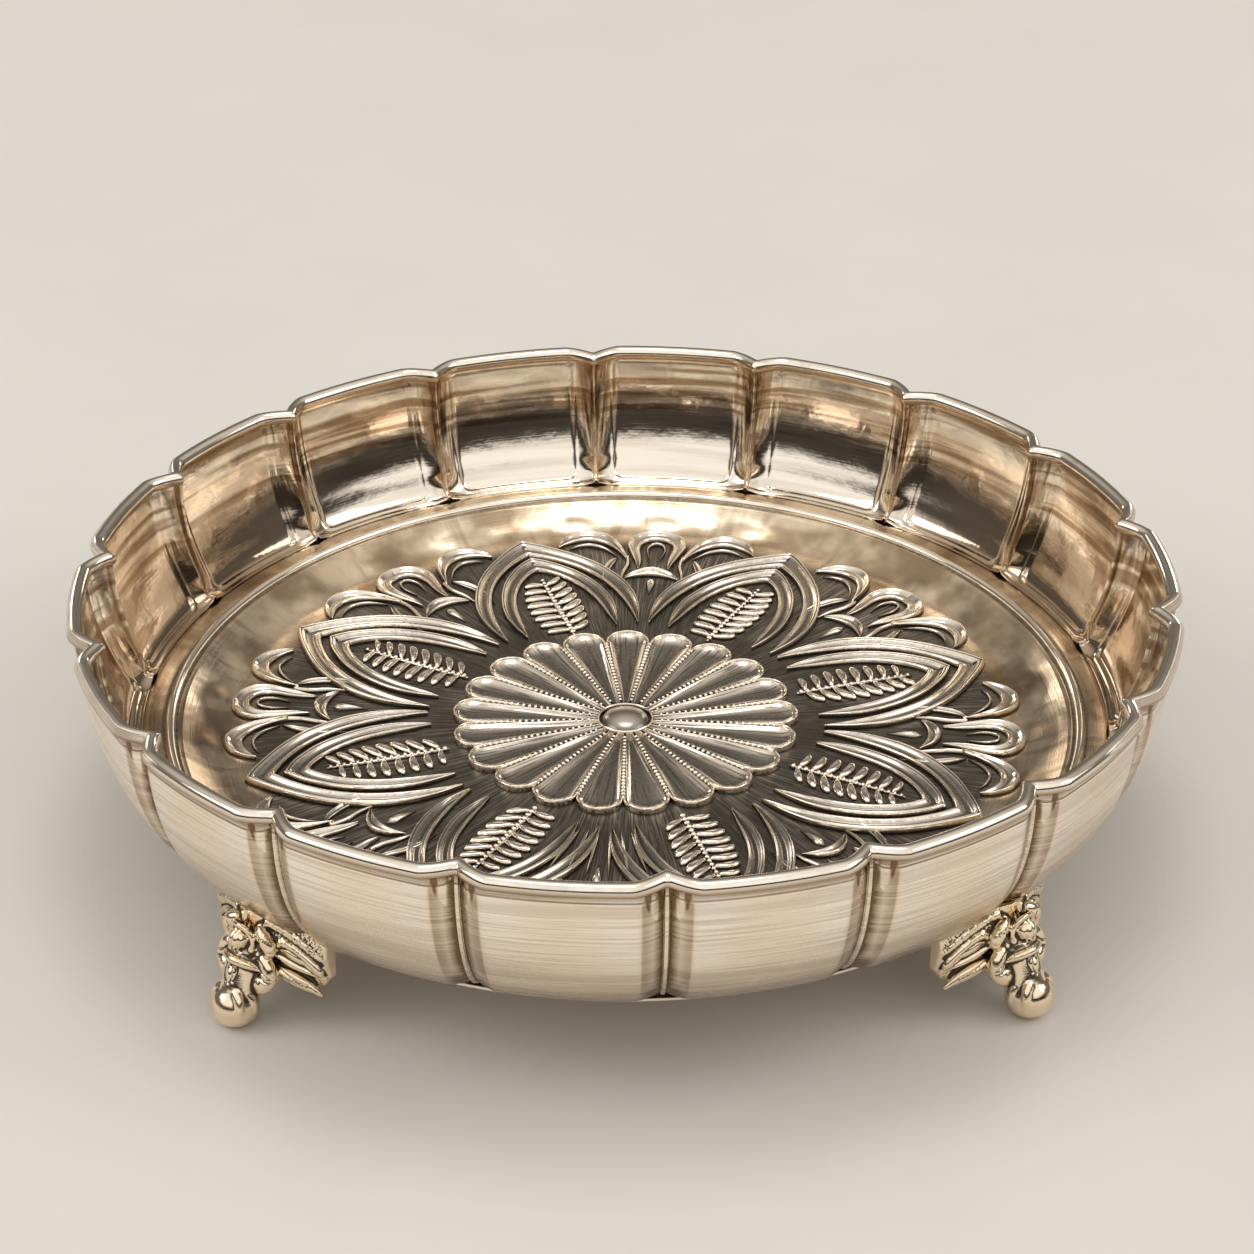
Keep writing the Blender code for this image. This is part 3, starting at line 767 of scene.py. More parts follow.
def dished_floor(finishes, floor):
    """Floor: swirled polish on the slope, dark brushed ground between the ornament."""
    metal = Metal("dished_floor", finishes.slope, 0.2)
    ramp, radius, along = metal.ramp, metal.radius, metal.arc(0.10)
    lines = metal.brushed(along, radius, 0.03, 0.00035, 0.6)
    hatch = metal.brushed(radius, along, 0.012, 0.00070, 0.3)
    clouds = metal.clouds(0.018)
    dark = ramp(radius + ramp(clouds, 0.3, 0.7, -0.0006, 0.0006), 0.0855, 0.0915, 1.0, 0.0)
    for line in (floor.wire_radius - WIRE_SIDES, floor.wire_radius + WIRE_SIDES):
        dark = metal.highest(dark, ramp(abs(radius - line), 0.00015, 0.00045, 0.9, 0.0))
    patch = metal.highest(ramp(clouds, 0.40, 0.64, 0.0, 0.9), ramp(hatch["Bands"], 0.48, 0.68, 0.0, 0.5))
    slope = metal.mix(patch, metal.tint, SLOPE_BROWN)
    streaks = ramp(hatch["Lines"], 0.42, 0.64) * ramp(clouds, 0.35, 0.6, 0.35, 1.0)
    ground = metal.mix(streaks, (*finishes.tarnish, 1.0), darker(finishes.bright, 0.30))
    return metal.finish(
        metal.mix(dark, slope, ground),
        ramp(lines["Lines"], 0.3, 0.75, 0.15, 0.28) + dark * 0.22,
        (clouds, 0.35, 0.0008),
        (lines["Lines"] + hatch["Lines"] * dark, 0.35, 0.00007),
    )


def relief(finishes, name, ground, low, high, grain, streak=0.0, hair=0.00055):
    """Raised ornament: bright on its ridges and dark down at the ground."""
    metal = Metal(name, finishes.bright, 0.16)
    ramp, level = metal.ramp, metal.height - ground
    tarnish = metal.group(tarnish_group, Level=level, Dark_below=low, Bright_above=high, Grain=grain)
    hatch = metal.brushed(metal.radius, metal.arc(0.05), 0.016, hair, 0.1)["Lines"]
    streaks = ramp(hatch, 0.44, 0.60, 0.0, streak) * ramp(level, high - 0.15 * MM, high + 0.15 * MM, 1.0, 0.15)
    dark = metal.highest(tarnish["Mask"], streaks, ramp(metal.attribute("hollow"), 0.10, 0.42))
    return metal.finish(
        metal.mix(dark, metal.tint, (*finishes.tarnish, 1.0)),
        ramp(tarnish["Grain"], 0.3, 0.7, 0.08, 0.14) + dark * 0.20,
        (hatch + tarnish["Grain"] * 0.5, 0.20, 0.00005),
    )


def cast_finish(finishes):
    """Castings: bright, dark in their hollows, with file marks."""
    metal = Metal("cast_polish", finishes.cast, 0.14)
    depth = metal.attribute("hollow")
    tarnish = metal.group(tarnish_group, Level=depth, Dark_below=0.62, Bright_above=0.42, Grain=0.25)
    file_marks = metal.round_the_wall(0.006, 0.00030, 0.4)["Lines"]
    return metal.finish(
        metal.mix(tarnish["Mask"], metal.tint, (*finishes.tarnish, 1.0)),
        metal.ramp(file_marks, 0.3, 0.7, 0.06, 0.14) + tarnish["Mask"] * 0.25,
        (file_marks + tarnish["Grain"], 0.30, 0.00007),
    )


def satin_base(finishes):
    """Base disc: turned satin."""
    metal = Metal("satin_base", finishes.bright, 0.22)
    lines = metal.brushed(metal.arc(0.05), metal.radius, 0.02, 0.0003)
    worn = metal.ramp(lines["Bands"], 0.38, 0.72, 0.0, 0.5)
    tint = metal.mix(worn, metal.tint, darker(finishes.satin, 0.7))
    rough = metal.ramp(lines["Lines"], 0.3, 0.75, 0.20, 0.36)
    return metal.finish(tint, rough, (lines["Lines"], 0.35, 0.00006))


# ---------------------------------------------------------------- wall and lip

# Shares of the half lobe where the wall has a column, closer together at the edges
LOBE = two_sided([
    0.0, 0.12, 0.24, 0.36, 0.48, 0.58, 0.63, 0.66, 0.69, 0.72, 0.75, 0.775, 0.79, 0.80,
    0.81, 0.825, 0.845, 0.87, 0.895, 0.92, 0.94, 0.955, 0.966, 0.972, 0.978, 0.985, 0.993, 1.0,
])
ACROSS = np.abs(LOBE)[None, :]

# The lip's section: share of the width from the outer edge, share of the depth from below
LIP_SECTION = [
    (0.16, 0.00), (0.07, 0.08), (0.015, 0.22), (0.00, 0.40), (0.02, 0.58), (0.08, 0.75), (0.18, 0.89),
    (0.30, 0.965), (0.43, 1.00), (0.57, 1.00), (0.70, 0.965), (0.81, 0.90), (0.90, 0.79), (0.96, 0.65),
    (1.00, 0.48), (0.99, 0.30), (0.95, 0.12), (0.88, 0.00), (0.66, -0.05), (0.40, -0.05),
]


class WallCurve:
    """The wall's curve from the lip down to its seat, inset from the outside."""

    def __init__(self, sizes, inset, rounding=2.1):
        self.sizes, self.rounding = sizes, rounding
        self.down = sizes.rim_height - sizes.foot_height - inset
        self.flare = sizes.top_radius - sizes.seat_radius - inset

    def at(self, heights):
        """Points (radius, height) of the curve at these heights."""
        share = unit((self.sizes.rim_height - heights) / self.down)
        bulge = (1.0 - share**self.rounding) ** (1.0 / self.rounding)
        return np.stack([self.sizes.seat_radius + self.flare * bulge, heights], 1)

    def path(self, top, bottom, count):
        """Points (radius, height) from the top down, evenly spaced along the curve."""
        fine = np.linspace(0.0, pi / 2.0, 2000)
        power = 2.0 / self.rounding
        z = self.sizes.rim_height - self.down * np.sin(fine) ** power
        r = self.sizes.seat_radius + self.flare * np.cos(fine) ** power
        keep = (z <= top) & (z >= bottom)
        z, r = z[keep], r[keep]
        run = np.concatenate([[0.0], np.cumsum(np.hypot(np.diff(z), np.diff(r)))])
        return self.at(np.interp(np.linspace(0.0, run[-1], count), run, z))


def groove_depth(sizes, height):
    share = unit((height - sizes.foot_height) / (sizes.rim_height - sizes.foot_height))
    return sizes.groove_foot + (sizes.groove_top - sizes.groove_foot) * share


def seam(half_width):
    """A round rib along the joint between two lobes, 1 at its top."""
    return np.sqrt(unit(1.0 - ((1.0 - ACROSS) / half_width) ** 2))


def outer_face(sizes, path):
    """Distance to push each point of the wall's outside out of its curve."""
    z = path[:, 1][:, None]
    push = -groove_depth(sizes, z) * unit((ACROSS - 0.70) / 0.30) ** 1.8
    push = push + 1.0 * MM * seam(0.026)
    engraved = bell(z, ENGRAVED_LINE, 0.22 * MM) * (1.0 - smoothstep(0.60, 0.74, ACROSS))
    push = push - 0.07 * MM * engraved
    push = push + 0.20 * MM * unit((z - 57.2 * MM) / (1.4 * MM)) ** 2
    facet = np.abs(ACROSS - 0.86) / 0.065 + (58.5 * MM - z) / (8.0 * MM)
    push = push + 0.20 * MM * unit((1.0 - facet) / 0.12)
    dent = ((1.0 - ACROSS - 0.060) / 0.026) ** 2 + ((z - 57.0 * MM) / (1.5 * MM)) ** 2
    push = push - 0.75 * MM * np.exp(-dent)
    return push - 0.75 * MM * (1.0 - smoothstep(20.8 * MM, 25.0 * MM, z))


def outer_painted_light(path):
    """Painted shade on the wall's outside (towards 1) and painted highlights (towards -1)."""
    z = path[:, 1][:, None]
    under_lip = np.maximum(57.5 * MM - z, 0.0)

    def wedge(place, half_width, depth, gain, most=1.0):
        shape = 1.0 - np.abs(ACROSS - place) / half_width - under_lip / depth
        return np.clip(gain * unit(shape), 0.0, most)

    # painted shade at the lobes' ends by the grooves, in a crescent at the foot, and in pleats under the lip
    ends = np.interp(
        ACROSS,
        [0.0, 0.75, 0.775, 0.82, 0.87, 0.91, 0.955, 0.97, 0.978],
        [0.0, 0.0, 0.48, 0.40, 0.20, 0.50, 1.0, 0.95, 0.0],
    )
    crescent = unit((ACROSS - 0.68) / 0.16) * unit((33.0 * MM - z) / (7.0 * MM)) * (ACROSS < 0.976)
    pleat = wedge(0.950, 0.050, 8.0 * MM, 3.0) * (ACROSS < 0.985)
    shoulder = wedge(0.82, 0.050, 5.4 * MM, 3.0, 0.95)
    dark = reduce(np.maximum, (ends, crescent, pleat, shoulder))
    # painted highlight on the upper middle of each lobe
    painted_highlight = np.interp(ACROSS, [0.0, 0.30, 0.60, 0.72, 0.75], [0.25, 0.35, 0.90, 0.90, 0.0])
    painted_highlight = painted_highlight * smoothstep(30.0 * MM, 46.0 * MM, z)
    # pale facets beside each groove under the lip: painted highlight
    facet = wedge(0.885, 0.045, 10.0 * MM, 2.0)
    return np.where(facet > 0.25, -0.7 * facet, dark - painted_highlight)


def inner_face(sizes, path):
    """Distance to push each point of the wall's inside out of its curve: panels, and folds between."""
    r, z = path[:, 0][:, None], path[:, 1][:, None]
    steps = np.concatenate([[0.0], np.cumsum(np.linalg.norm(np.diff(path, axis=0), axis=1))])
    low = unit((33.0 * MM - z) / (5.4 * MM))
    push = -groove_depth(sizes, z) * unit((ACROSS - 0.74) / 0.26) ** 1.5 * (1.0 - 0.55 * low)
    push = push - (0.95 - 0.45 * low) * MM * seam(0.030)
    half_turn = pi / sizes.lobes
    side, half_width = ACROSS * half_turn * r, 0.755 * half_turn * r
    top, bottom, corner = 1.6 * MM, steps[-1] - 2.3 * MM, 2.4 * MM
    dx = side - (half_width - corner)
    ds = np.abs(steps[:, None] - (top + bottom) / 2.0) - ((bottom - top) / 2.0 - corner)
    away = np.hypot(np.maximum(dx, 0.0), np.maximum(ds, 0.0)) + np.minimum(np.maximum(dx, ds), 0.0) - corner
    push = push + 0.42 * MM * (1.0 - smoothstep(-0.62 * MM, 0.02 * MM, away))
    return push - 0.20 * MM * bell(away, 0.28 * MM, 0.26 * MM)


def wall_skin(sizes, name, path, push, thickness, back_rows, hollow, material):
    """Makes one lobe as a closed strip, with a coarser face behind the visible one, and repeats it."""
    along = np.gradient(path, axis=0)
    along /= np.linalg.norm(along, axis=1, keepdims=True)
    out = np.stack([-along[:, 1], along[:, 0]], 1)
    rows = [path[i] + out[i] * push[i][:, None] for i in range(len(path))]
    picks = np.linspace(len(path) - 1, 0, back_rows).round().astype(int)
    rows += [path[i] + out[i] * (push[i] + thickness)[:, None] for i in picks]
    angles = LOBE * pi / sizes.lobes
    points = [(r * cos(a), r * sin(a), z) for row in rows for (r, z), a in zip(row, angles)]
    skin = make_object(name, points, grid_faces(len(rows), len(angles), wrap_rows=True))
    face_outwards(skin.data)
    mark(skin.data, hollow)
    first = -pi / 2.0 + sizes.first_turn + pi / sizes.lobes
    grown(skin, round_the_axis(), Material=material, Count=sizes.lobes, First_turn=first)
    piece(skin, "fluted_wall")


class LOTUS_OT_wall(bpy.types.Operator):
    """Lobed wall: a brushed outer face and a polished inner face"""

    bl_idname = "lotus.wall"
    bl_label = "Fluted wall"

    def execute(self, context):
        sizes, finishes = context.scene.lotus_wall, context.scene.lotus_finishes
        curve = WallCurve(sizes, 0.0)
        fine = curve.at(ENGRAVED_LINE + np.array([0.6, 0.3, 0.15, 0.0, -0.15, -0.3]) * MM)
        path = np.vstack([curve.path(WALL_TOP, 20.41 * MM, 78), fine])
        path = path[np.argsort(-path[:, 1])]
        # the outside's hollow attribute carries its painted shade and painted highlights
        push, hollow = outer_face(sizes, path), outer_painted_light(path)
        wall_skin(sizes, "wall_outside", path, push, -0.40 * MM, 14, hollow, satin_outside(finishes))

        path = WallCurve(sizes, 0.9 * MM, 1.8).path(WALL_TOP, 34.4 * MM, 54)
        start, end = path[-1], np.array([111.9, 27.6]) * MM
        lead = (path[-1] - path[-2]) / np.linalg.norm(path[-1] - path[-2])
        bends = start, start + 4.2 * MM * lead, end + np.array([3.6 * MM, 0.0]), end
        share = np.linspace(0.0, 1.0, 31)[1:, None]
        foot = (1 - share) ** 3 * bends[0] + 3 * share * (1 - share) ** 2 * bends[1]
        foot = foot + 3 * share**2 * (1 - share) * bends[2] + share**3 * bends[3]
        path = np.vstack([path, foot])
        # painted shade: the inner flanks next to each groove are darkened in place of dark reflections
        folds = np.interp(ACROSS, [0.0, 0.80, 0.87, 0.93, 0.965, 0.98], [0.0, 0.0, 0.55, 0.90, 1.0, 0.0])
        push, hollow = inner_face(sizes, path), np.repeat(folds, len(path), 0)
        wall_skin(sizes, "wall_inside", path, push, 0.42 * MM, 12, hollow, bright_inside(finishes))
        return {"FINISHED"}


class LOTUS_OT_lip(bpy.types.Operator):
    """Rounded lip, folded inwards between the lobes"""

    bl_idname = "lotus.lip"
    bl_label = "Lip"

    def execute(self, context):
        sizes = context.scene.lotus_wall
        radii = [sizes.rim_radius - sizes.rim_width * across for across, _ in LIP_SECTION]
        heights = [sizes.rim_height - sizes.rim_depth * (1.0 - up) for _, up in LIP_SECTION]
        columns = sizes.lobes * 64
        lip = make_object("lip", *revolved(list(zip(radii, heights)), columns))
        outside = [0.2 < up < 0.9 and across < 0.2 for across, up in LIP_SECTION]
        mark(lip.data, np.repeat(outside, columns), "milled")
        grown(
            lip, folded_at_grooves(), Material=bright_lip(context.scene.lotus_finishes), Lobes=sizes.lobes,
            First_turn=sizes.first_turn, Flat_share=0.67, Outer_notch=sizes.notch_out,
            Inner_notch=sizes.notch_in, Outer_radius=sizes.rim_radius, Width=sizes.rim_width, Curve=1.45,
        )
        piece(lip, "rim_moulding")
        return {"FINISHED"}


class LOTUS_OT_base(bpy.types.Operator):
    """Flat plate under the wall, with a softened edge and a turned underside"""

    bl_idname = "lotus.base"
    bl_label = "Base plate"

    def execute(self, context):
        low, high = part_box("base_plate")
        radius, foot, top = high.x + 1.3 * MM, low.z, high.z
        soft = 0.25 * MM
        bend = [(radius - soft * (1.0 - cos(t)), soft * (1.0 - sin(t))) for t in np.radians((90, 60, 30, 0))]
        edge = [(r, top - down) for r, down in bend] + [(r, foot + up) for r, up in bend[::-1]]
        # grooves turned into the underside: place and depth, from the edge and then from the axis
        near_edge = ((6, 0), (6.4, 0.12), (7, 0.12), (7.4, 0))
        grooves = [(radius - away * MM, foot + deep * MM) for away, deep in near_edge]
        grooves += [(out * MM, foot + deep * MM) for out, deep in ((40, 0), (39.6, 0.10), (39, 0), (3, 0))]
        profile = [(0.0, top), (60 * MM, top), *edge, *grooves, (0.0, foot)]
        base = make_object("base_disc", *turned(profile, 240))
        piece(base, "base_plate", satin_base(context.scene.lotus_finishes), 40.0)
        return {"FINISHED"}


# ---------------------------------------------------------------- floor and ornament

# share across from the outer edge, share of the height
BAND_SECTION = [
    (0.00, -0.30), (0.015, 0.25), (0.05, 0.78), (0.09, 1.00), (0.13, 0.97), (0.165, 0.76), (0.20, 0.90),
    (0.25, 0.86), (0.33, 0.52), (0.44, 0.33), (0.56, 0.30), (0.68, 0.38), (0.77, 0.62), (0.84, 0.84),
    (0.90, 0.86), (0.95, 0.60), (0.985, 0.10), (1.00, -0.30),
]
RIDGE_SECTION = [
    (0.00, -0.30), (0.03, 0.10), (0.12, 0.50), (0.25, 0.84), (0.40, 0.98), (0.50, 1.00),
    (0.60, 0.98), (0.75, 0.84), (0.88, 0.50), (0.97, 0.10), (1.00, -0.30),
]
HOOD_SECTION = [
    (0.00, -0.30), (0.02, 0.30), (0.07, 0.82), (0.14, 1.00), (0.22, 0.96), (0.32, 0.66), (0.45, 0.44),
    (0.58, 0.40), (0.70, 0.52), (0.80, 0.76), (0.88, 0.80), (0.94, 0.55), (0.98, 0.10), (1.00, -0.30),
]

# Two plan lines of each band in millimetres: outwards along the axis of a leaf or palmette, and aside.
OUTER_LEAF = (
    [
        (90.6, 0), (88.4, 3.0), (85, 6.7), (80.5, 11.0), (75, 15.0), (69, 17.9), (62.5, 19.7), (56, 20.0),
        (50, 19.0), (45.5, 17.5), (43.4, 16.6),
    ],
    [
        (83.4, 0), (80.9, 3.6), (77.2, 7.5), (72.6, 11.0), (66.6, 13.9), (60, 15.6), (54, 16.3),
        (49, 16.5), (45, 16.5), (43.4, 16.4),
    ],
)
INNER_LEAF = (
    [
        (81.6, 0), (79.2, 3.4), (76.2, 6.2), (71.6, 9.5), (66, 12.0), (60, 13.5), (54.5, 13.9),
        (49.5, 13.2), (45.8, 12.1), (43.9, 11.4),
    ],
    [
        (75.4, 0), (73.8, 2.2), (71.0, 4.7), (67.5, 6.8), (63.2, 8.6), (58.5, 9.7), (53.5, 10.3),
        (49.5, 10.6), (46, 11.0), (43.9, 11.2),
    ],
)
HOOD = (
    [(93.4, 0), (92.5, 3.7), (89.8, 6.7), (85.8, 7.6), (81, 6.3), (77, 4.9), (74.0, 4.0)],
    [(88.8, 0), (88.1, 2.3), (86.3, 3.7), (83.4, 4.0), (80, 3.5), (77, 3.3), (74.0, 3.6)],
)
HOOK = (
    [
        (78.5, 7.0), (83.8, 8.8), (88.2, 11.0), (91.2, 14.3), (91.8, 18.3), (89.8, 22.3), (86.2, 24.4),
        (82.8, 24.8),
    ],
    [
        (78.7, 7.4), (82.8, 10.2), (85.4, 12.8), (86.9, 15.5), (87.1, 18.3), (86.0, 21.0), (84.3, 23.2),
        (82.8, 24.7),
    ],
)
CRESCENT = (
    [(73.8, 0), (73.2, 2.2), (71.6, 4.5), (68.8, 6.6)],
    [(70.4, 0), (70.2, 2.0), (69.6, 4.2), (68.7, 6.5)],
)

# Ridges of the ornament: rows of x, y, half width and height in millimetres
PETAL_SIDE = [(24.5, -3.55, 0.08, 1.0), (29.0, -4.25, 0.26, 1.35), (33.6, -4.93, 0.34, 1.60)]
FERN_STEM = [(42.5, 0.0, 0.35, 0.55), (56, 0.3, 0.5, 0.7), (71.5, 0.0, 0.2, 0.5)]
LOOP_SIDE = [(87.0, 0.0, 0.40, 1.0), (86.2, 1.5, 0.38, 0.95), (83.4, 2.2, 0.30, 0.8), (79.5, 1.4, 0.12, 0.4)]
CURL = [
    (80.0, 9.6, 0.10, 0.4), (83.4, 13.0, 0.40, 0.9), (84.9, 16.6, 0.50, 1.0), (84.2, 19.8, 0.38, 0.8),
    (82.6, 22.0, 0.1, 0.3),
]
ARM = [(79.6, 6.9, 0.55, 1.1), (75.5, 6.6, 0.60, 1.1), (71.0, 7.4, 0.55, 1.0), (66.0, 7.6, 0.12, 0.4)]
FROND = [
    (79.5, 9.4, 0.15, 0.4), (76.6, 10.6, 0.8, 1.0), (72.6, 11.6, 0.9, 1.0), (68.0, 11.6, 0.6, 0.8),
    (63.6, 10.8, 0.1, 0.3),
]
DROP = [(69.2, 0.0, 0.1, 0.3), (67.6, 0.0, 1.2, 0.9), (65.4, 0.0, 1.0, 1.0), (61.0, 0.0, 0.05, 0.2)]


def floor_height(floor, radius):
    """Ground of the floor: flat under the ornament, then a hollow slope up to the band."""
    share = unit((floor.band_radius - radius) / (floor.band_radius - floor.ground_radius))
    return floor.band_level - (floor.band_level - floor.ground_level) * np.sin(share * pi / 2.0)


def other_side(rows):
    """The rows across the x axis, from the last to the first."""
    return [(x, -y, *rest) for x, y, *rest in rows[::-1]]


def lined_band(lines, height, fall, section, ground, count=40, both=False):
    """A band between two plan lines, which dies down by fall towards its last end."""
    outer, inner = (spline(np.array(line, float) * MM, count) for line in lines)
    heights = height * (1.0 - fall * np.linspace(0.0, 1.0, count) ** 2)
    if both:
        outer, inner = (np.vstack([line[:0:-1] * (1.0, -1.0), line]) for line in (outer, inner))
        heights = np.concatenate([heights[:0:-1], heights])
    return closed_band(outer, inner, heights, section, ground)


def petal(tip_centre, tip_radius, foot, half_turn, height, ground):
    """One scooped petal as a closed piece, and how far its top points lie in the fold beside a rib."""
    gap, sunk = 0.12 * MM, ground - 0.3 * MM
    columns = two_sided([0.0, 0.15, 0.30, 0.45, 0.58, 0.68, 0.76, 0.82, 0.87, 0.91, 0.955, 1.0])
    rows = [(x, x * np.tan(half_turn) - gap) for x in np.linspace(foot, tip_centre, 30)]
    widest = rows[-1][1]
    for tilt in np.linspace(0.0, pi / 2.0, 15)[1:]:
        rows.append((tip_centre + tip_radius * sin(tilt), max(gap, widest * cos(tilt))))
    points, folds = [], []
    for x, half in rows:
        out = max(0.0, (x - tip_centre) / tip_radius)
        open_share = smoothstep(foot, tip_centre, x)
        bottom = 0.10 + 0.16 * open_share
        for u in columns:
            reach = np.hypot(out, u * half / widest) if out > 0 else abs(u)
            scoop = bottom + (1.0 - bottom) * min(1.0, reach / 0.88) ** 3.4
            edge = smoothstep(0.88, 1.0, reach) * (0.85 - 0.25 * open_share)
            points.append((x, u * half, ground + height * (scoop - edge)))
            folds.append(smoothstep(0.84, 0.92, reach) if out <= 0 else 0.0)
    count, low = len(columns), len(points)
    points += [(x, u * half, sunk) for x, half in rows for u in (-1.0, 1.0)]
    faces = grid_faces(len(rows), count)
    for i in range(len(rows) - 1):
        a, b, c, d = low + 2 * i, low + 2 * i + 1, low + 2 * i + 3, low + 2 * i + 2
        left, right = i * count, i * count + count - 1
        faces += [[a, b, c, d], [left, left + count, d, a], [right, b, c, right + count]]
    tip, end = range(low - count, low), len(points) - 2
    faces += [[*range(count), low + 1, low], [*tip[::-1], end, end + 1]]
    return (points, faces), folds


def ornament(name, part, group, depth=None, **values):
    """A piece of the floor's ornament that a node group repeats; depth marks its hollows."""
    obj = make_object(name, *part)
    if depth:
        face_outwards(obj.data)
        mark(obj.data, depth(obj.data))
    grown(obj, group(), **values)
    piece(obj, "floor_plate")


class LOTUS_OT_floor(bpy.types.Operator):
    """Dished floor: flat band, hollow slope with soft swells, and the ornament's ground"""

    bl_idname = "lotus.floor"
    bl_label = "Dished floor"

    def execute(self, context):
        floor, finishes = context.scene.lotus_floor, context.scene.lotus_finishes
        edge, sheet, columns = 112.3, 0.6 * MM, 576
        spans = np.linspace(6.0, 88.0, 26), np.linspace(89.0, 103.0, 34), np.linspace(103.3, 107.6, 22)
        radii = np.concatenate([[0.0], *spans, [109.0, 110.5, edge]]) * MM
        level = floor_height(floor, radii)
        for line in (floor.wire_radius - WIRE_SIDES, floor.wire_radius + WIRE_SIDES):
            level = level - 0.30 * MM * bell(radii, line, 0.32 * MM)
        back = np.array([edge, 103.0, 97.0, 92.0, 40.0, 0.0]) * MM
        under = zip(back, floor_height(floor, back) - sheet)
        points, faces = turned([*zip(radii, level), *under], columns)
        points = np.array(points)
        top = points[1 : 1 + (len(radii) - 1) * columns, 2]
        r, a = (grid.ravel() for grid in np.meshgrid(radii[1:], round_angles(columns), indexing="ij"))
        step = 2.0 * pi / floor.leaves
        for lobe in (-13.0, 0.0, 13.0):
            middle = floor.leaf_turn + step / 2.0 + radians(lobe)
            aside = (a - middle + pi * 8.0 + step / 2.0) % step - step / 2.0
            top += 0.60 * MM * bell(aside * r, 0.0, 5.2 * MM) * bell(r, 96.6 * MM, 2.6 * MM)
        # turned over, which keeps the diagonals that its quads are split along
        dish = make_object("dished_floor", points, [face[::-1] for face in faces])
        piece(dish, "floor_plate", dished_floor(finishes, floor))

        wire_low = floor.band_level - 0.15 * MM
        section = []
        for tilt in np.radians(np.linspace(0.0, 180.0, 17)):
            out = 1.15 * MM * cos(tilt)
            section.append((floor.wire_radius + out, wire_low + 1.40 * MM * sin(tilt) ** 0.8))
        wire = make_object("floor_wire", *revolved(section, 432))
        piece(wire, "floor_ring", bright_lip(finishes), 60.0)
        return {"FINISHED"}


class LOTUS_OT_rosette(bpy.types.Operator):
    """Rosette of scooped petals with beaded ribs, its collar and the centre boss"""

    bl_idname = "lotus.rosette"
    bl_label = "Rosette and boss"

    def execute(self, context):
        floor, finishes = context.scene.lotus_floor, context.scene.lotus_finishes
        ground = floor.ground_level
        half_turn = pi / floor.petals
        scoop, folds = petal(35.4 * MM, 4.9 * MM, 6.2 * MM, half_turn, 1.15 * MM, ground)
        tip = [(35.5 + 4.8 * cos(t), 5.0 * sin(t), 0.38, 1.70) for t in np.radians(np.linspace(-80, 80, 13))]
        outline = ridge(PETAL_SIDE + tip + other_side(PETAL_SIDE), 54, RIDGE_SECTION, lambda radius: ground)
        ornament(
            "petals", joined([scoop, outline]), round_the_axis, lambda mesh: folds,
            Material=relief(finishes, "petal_silver", ground, -0.18 * MM, 0.85 * MM, 0.12, 0.85, 0.0010),
            Count=floor.petals, First_turn=floor.petal_turn + half_turn,
        )
        ornament(
            "rib_beads", egg((0, 0, 0), (0.44 * MM, 0.56 * MM, 0.60 * MM), 6, 10), beads_on_ribs,
            Material=relief(finishes, "bead_silver", ground, 0.75 * MM, 1.05 * MM, 0.1),
            Ribs=floor.petals, Beads=floor.rib_beads, First_turn=floor.petal_turn, First_radius=8.6 * MM,
            Last_radius=34.8 * MM, Level=ground + 0.90 * MM, First_size=0.80, Last_size=1.30,
        )
        tops = [(6.05, -0.3), (6.05, 1.1), (6.12, 1.32), (6.25, 1.42), (6.4, 1.32), (6.52, 1.0), (6.7, -0.3)]
        section = [(r * MM, ground + z * MM) for r, z in tops]
        collar = make_object("collar", *revolved(section, 128))
        piece(collar, "floor_plate", bright_lip(finishes), 50.0)

        low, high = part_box("centre_boss")
        radius, foot, tall = floor.boss_radius, low.z, high.z - low.z
        dome = [(radius * cos(t), foot + tall * sin(t)) for t in np.radians(np.linspace(84.0, 0.0, 18))]
        sole = [(radius, foot - 0.1 * MM), (0.0, foot - 0.1 * MM)]
        boss = make_object("boss", *turned([(0.0, high.z), *dome, *sole], 96))
        silver = relief(finishes, "boss_silver", foot, 0.0, 1.5 * tall, 0.1)
        piece(boss, "centre_boss", silver, 60.0)
        return {"FINISHED"}


def leaflet_part():
    """One domed leaflet of a fern, in metres, along +X."""
    count = 16
    outline = []
    for angle in round_angles(count):
        x = 0.3 + 3.6 * (1.0 - cos(angle))
        y = 1.50 * sin(angle) * (0.50 + 0.50 * (1.0 - cos(angle)) / 2.0) + 0.030 * x * x
        outline.append((x, y))
    outline, middle = np.array(outline), np.array([4.4, 0.6])
    rings = [(1.0, -0.25), (0.97, 0.45), (0.84, 0.92), (0.62, 1.10), (0.36, 1.00)]
    points = [(x, y, up) for share, up in rings for x, y in middle + (outline - middle) * share]
    points.append((*middle, 0.92))
    last = (len(rings) - 1) * count
    faces = grid_faces(len(rings), count, wrap_columns=True)
    faces += [(last + k, last + (k + 1) % count, len(points) - 1) for k in range(count)]
    return np.array(points) * MM, faces + [list(range(count))[::-1]]


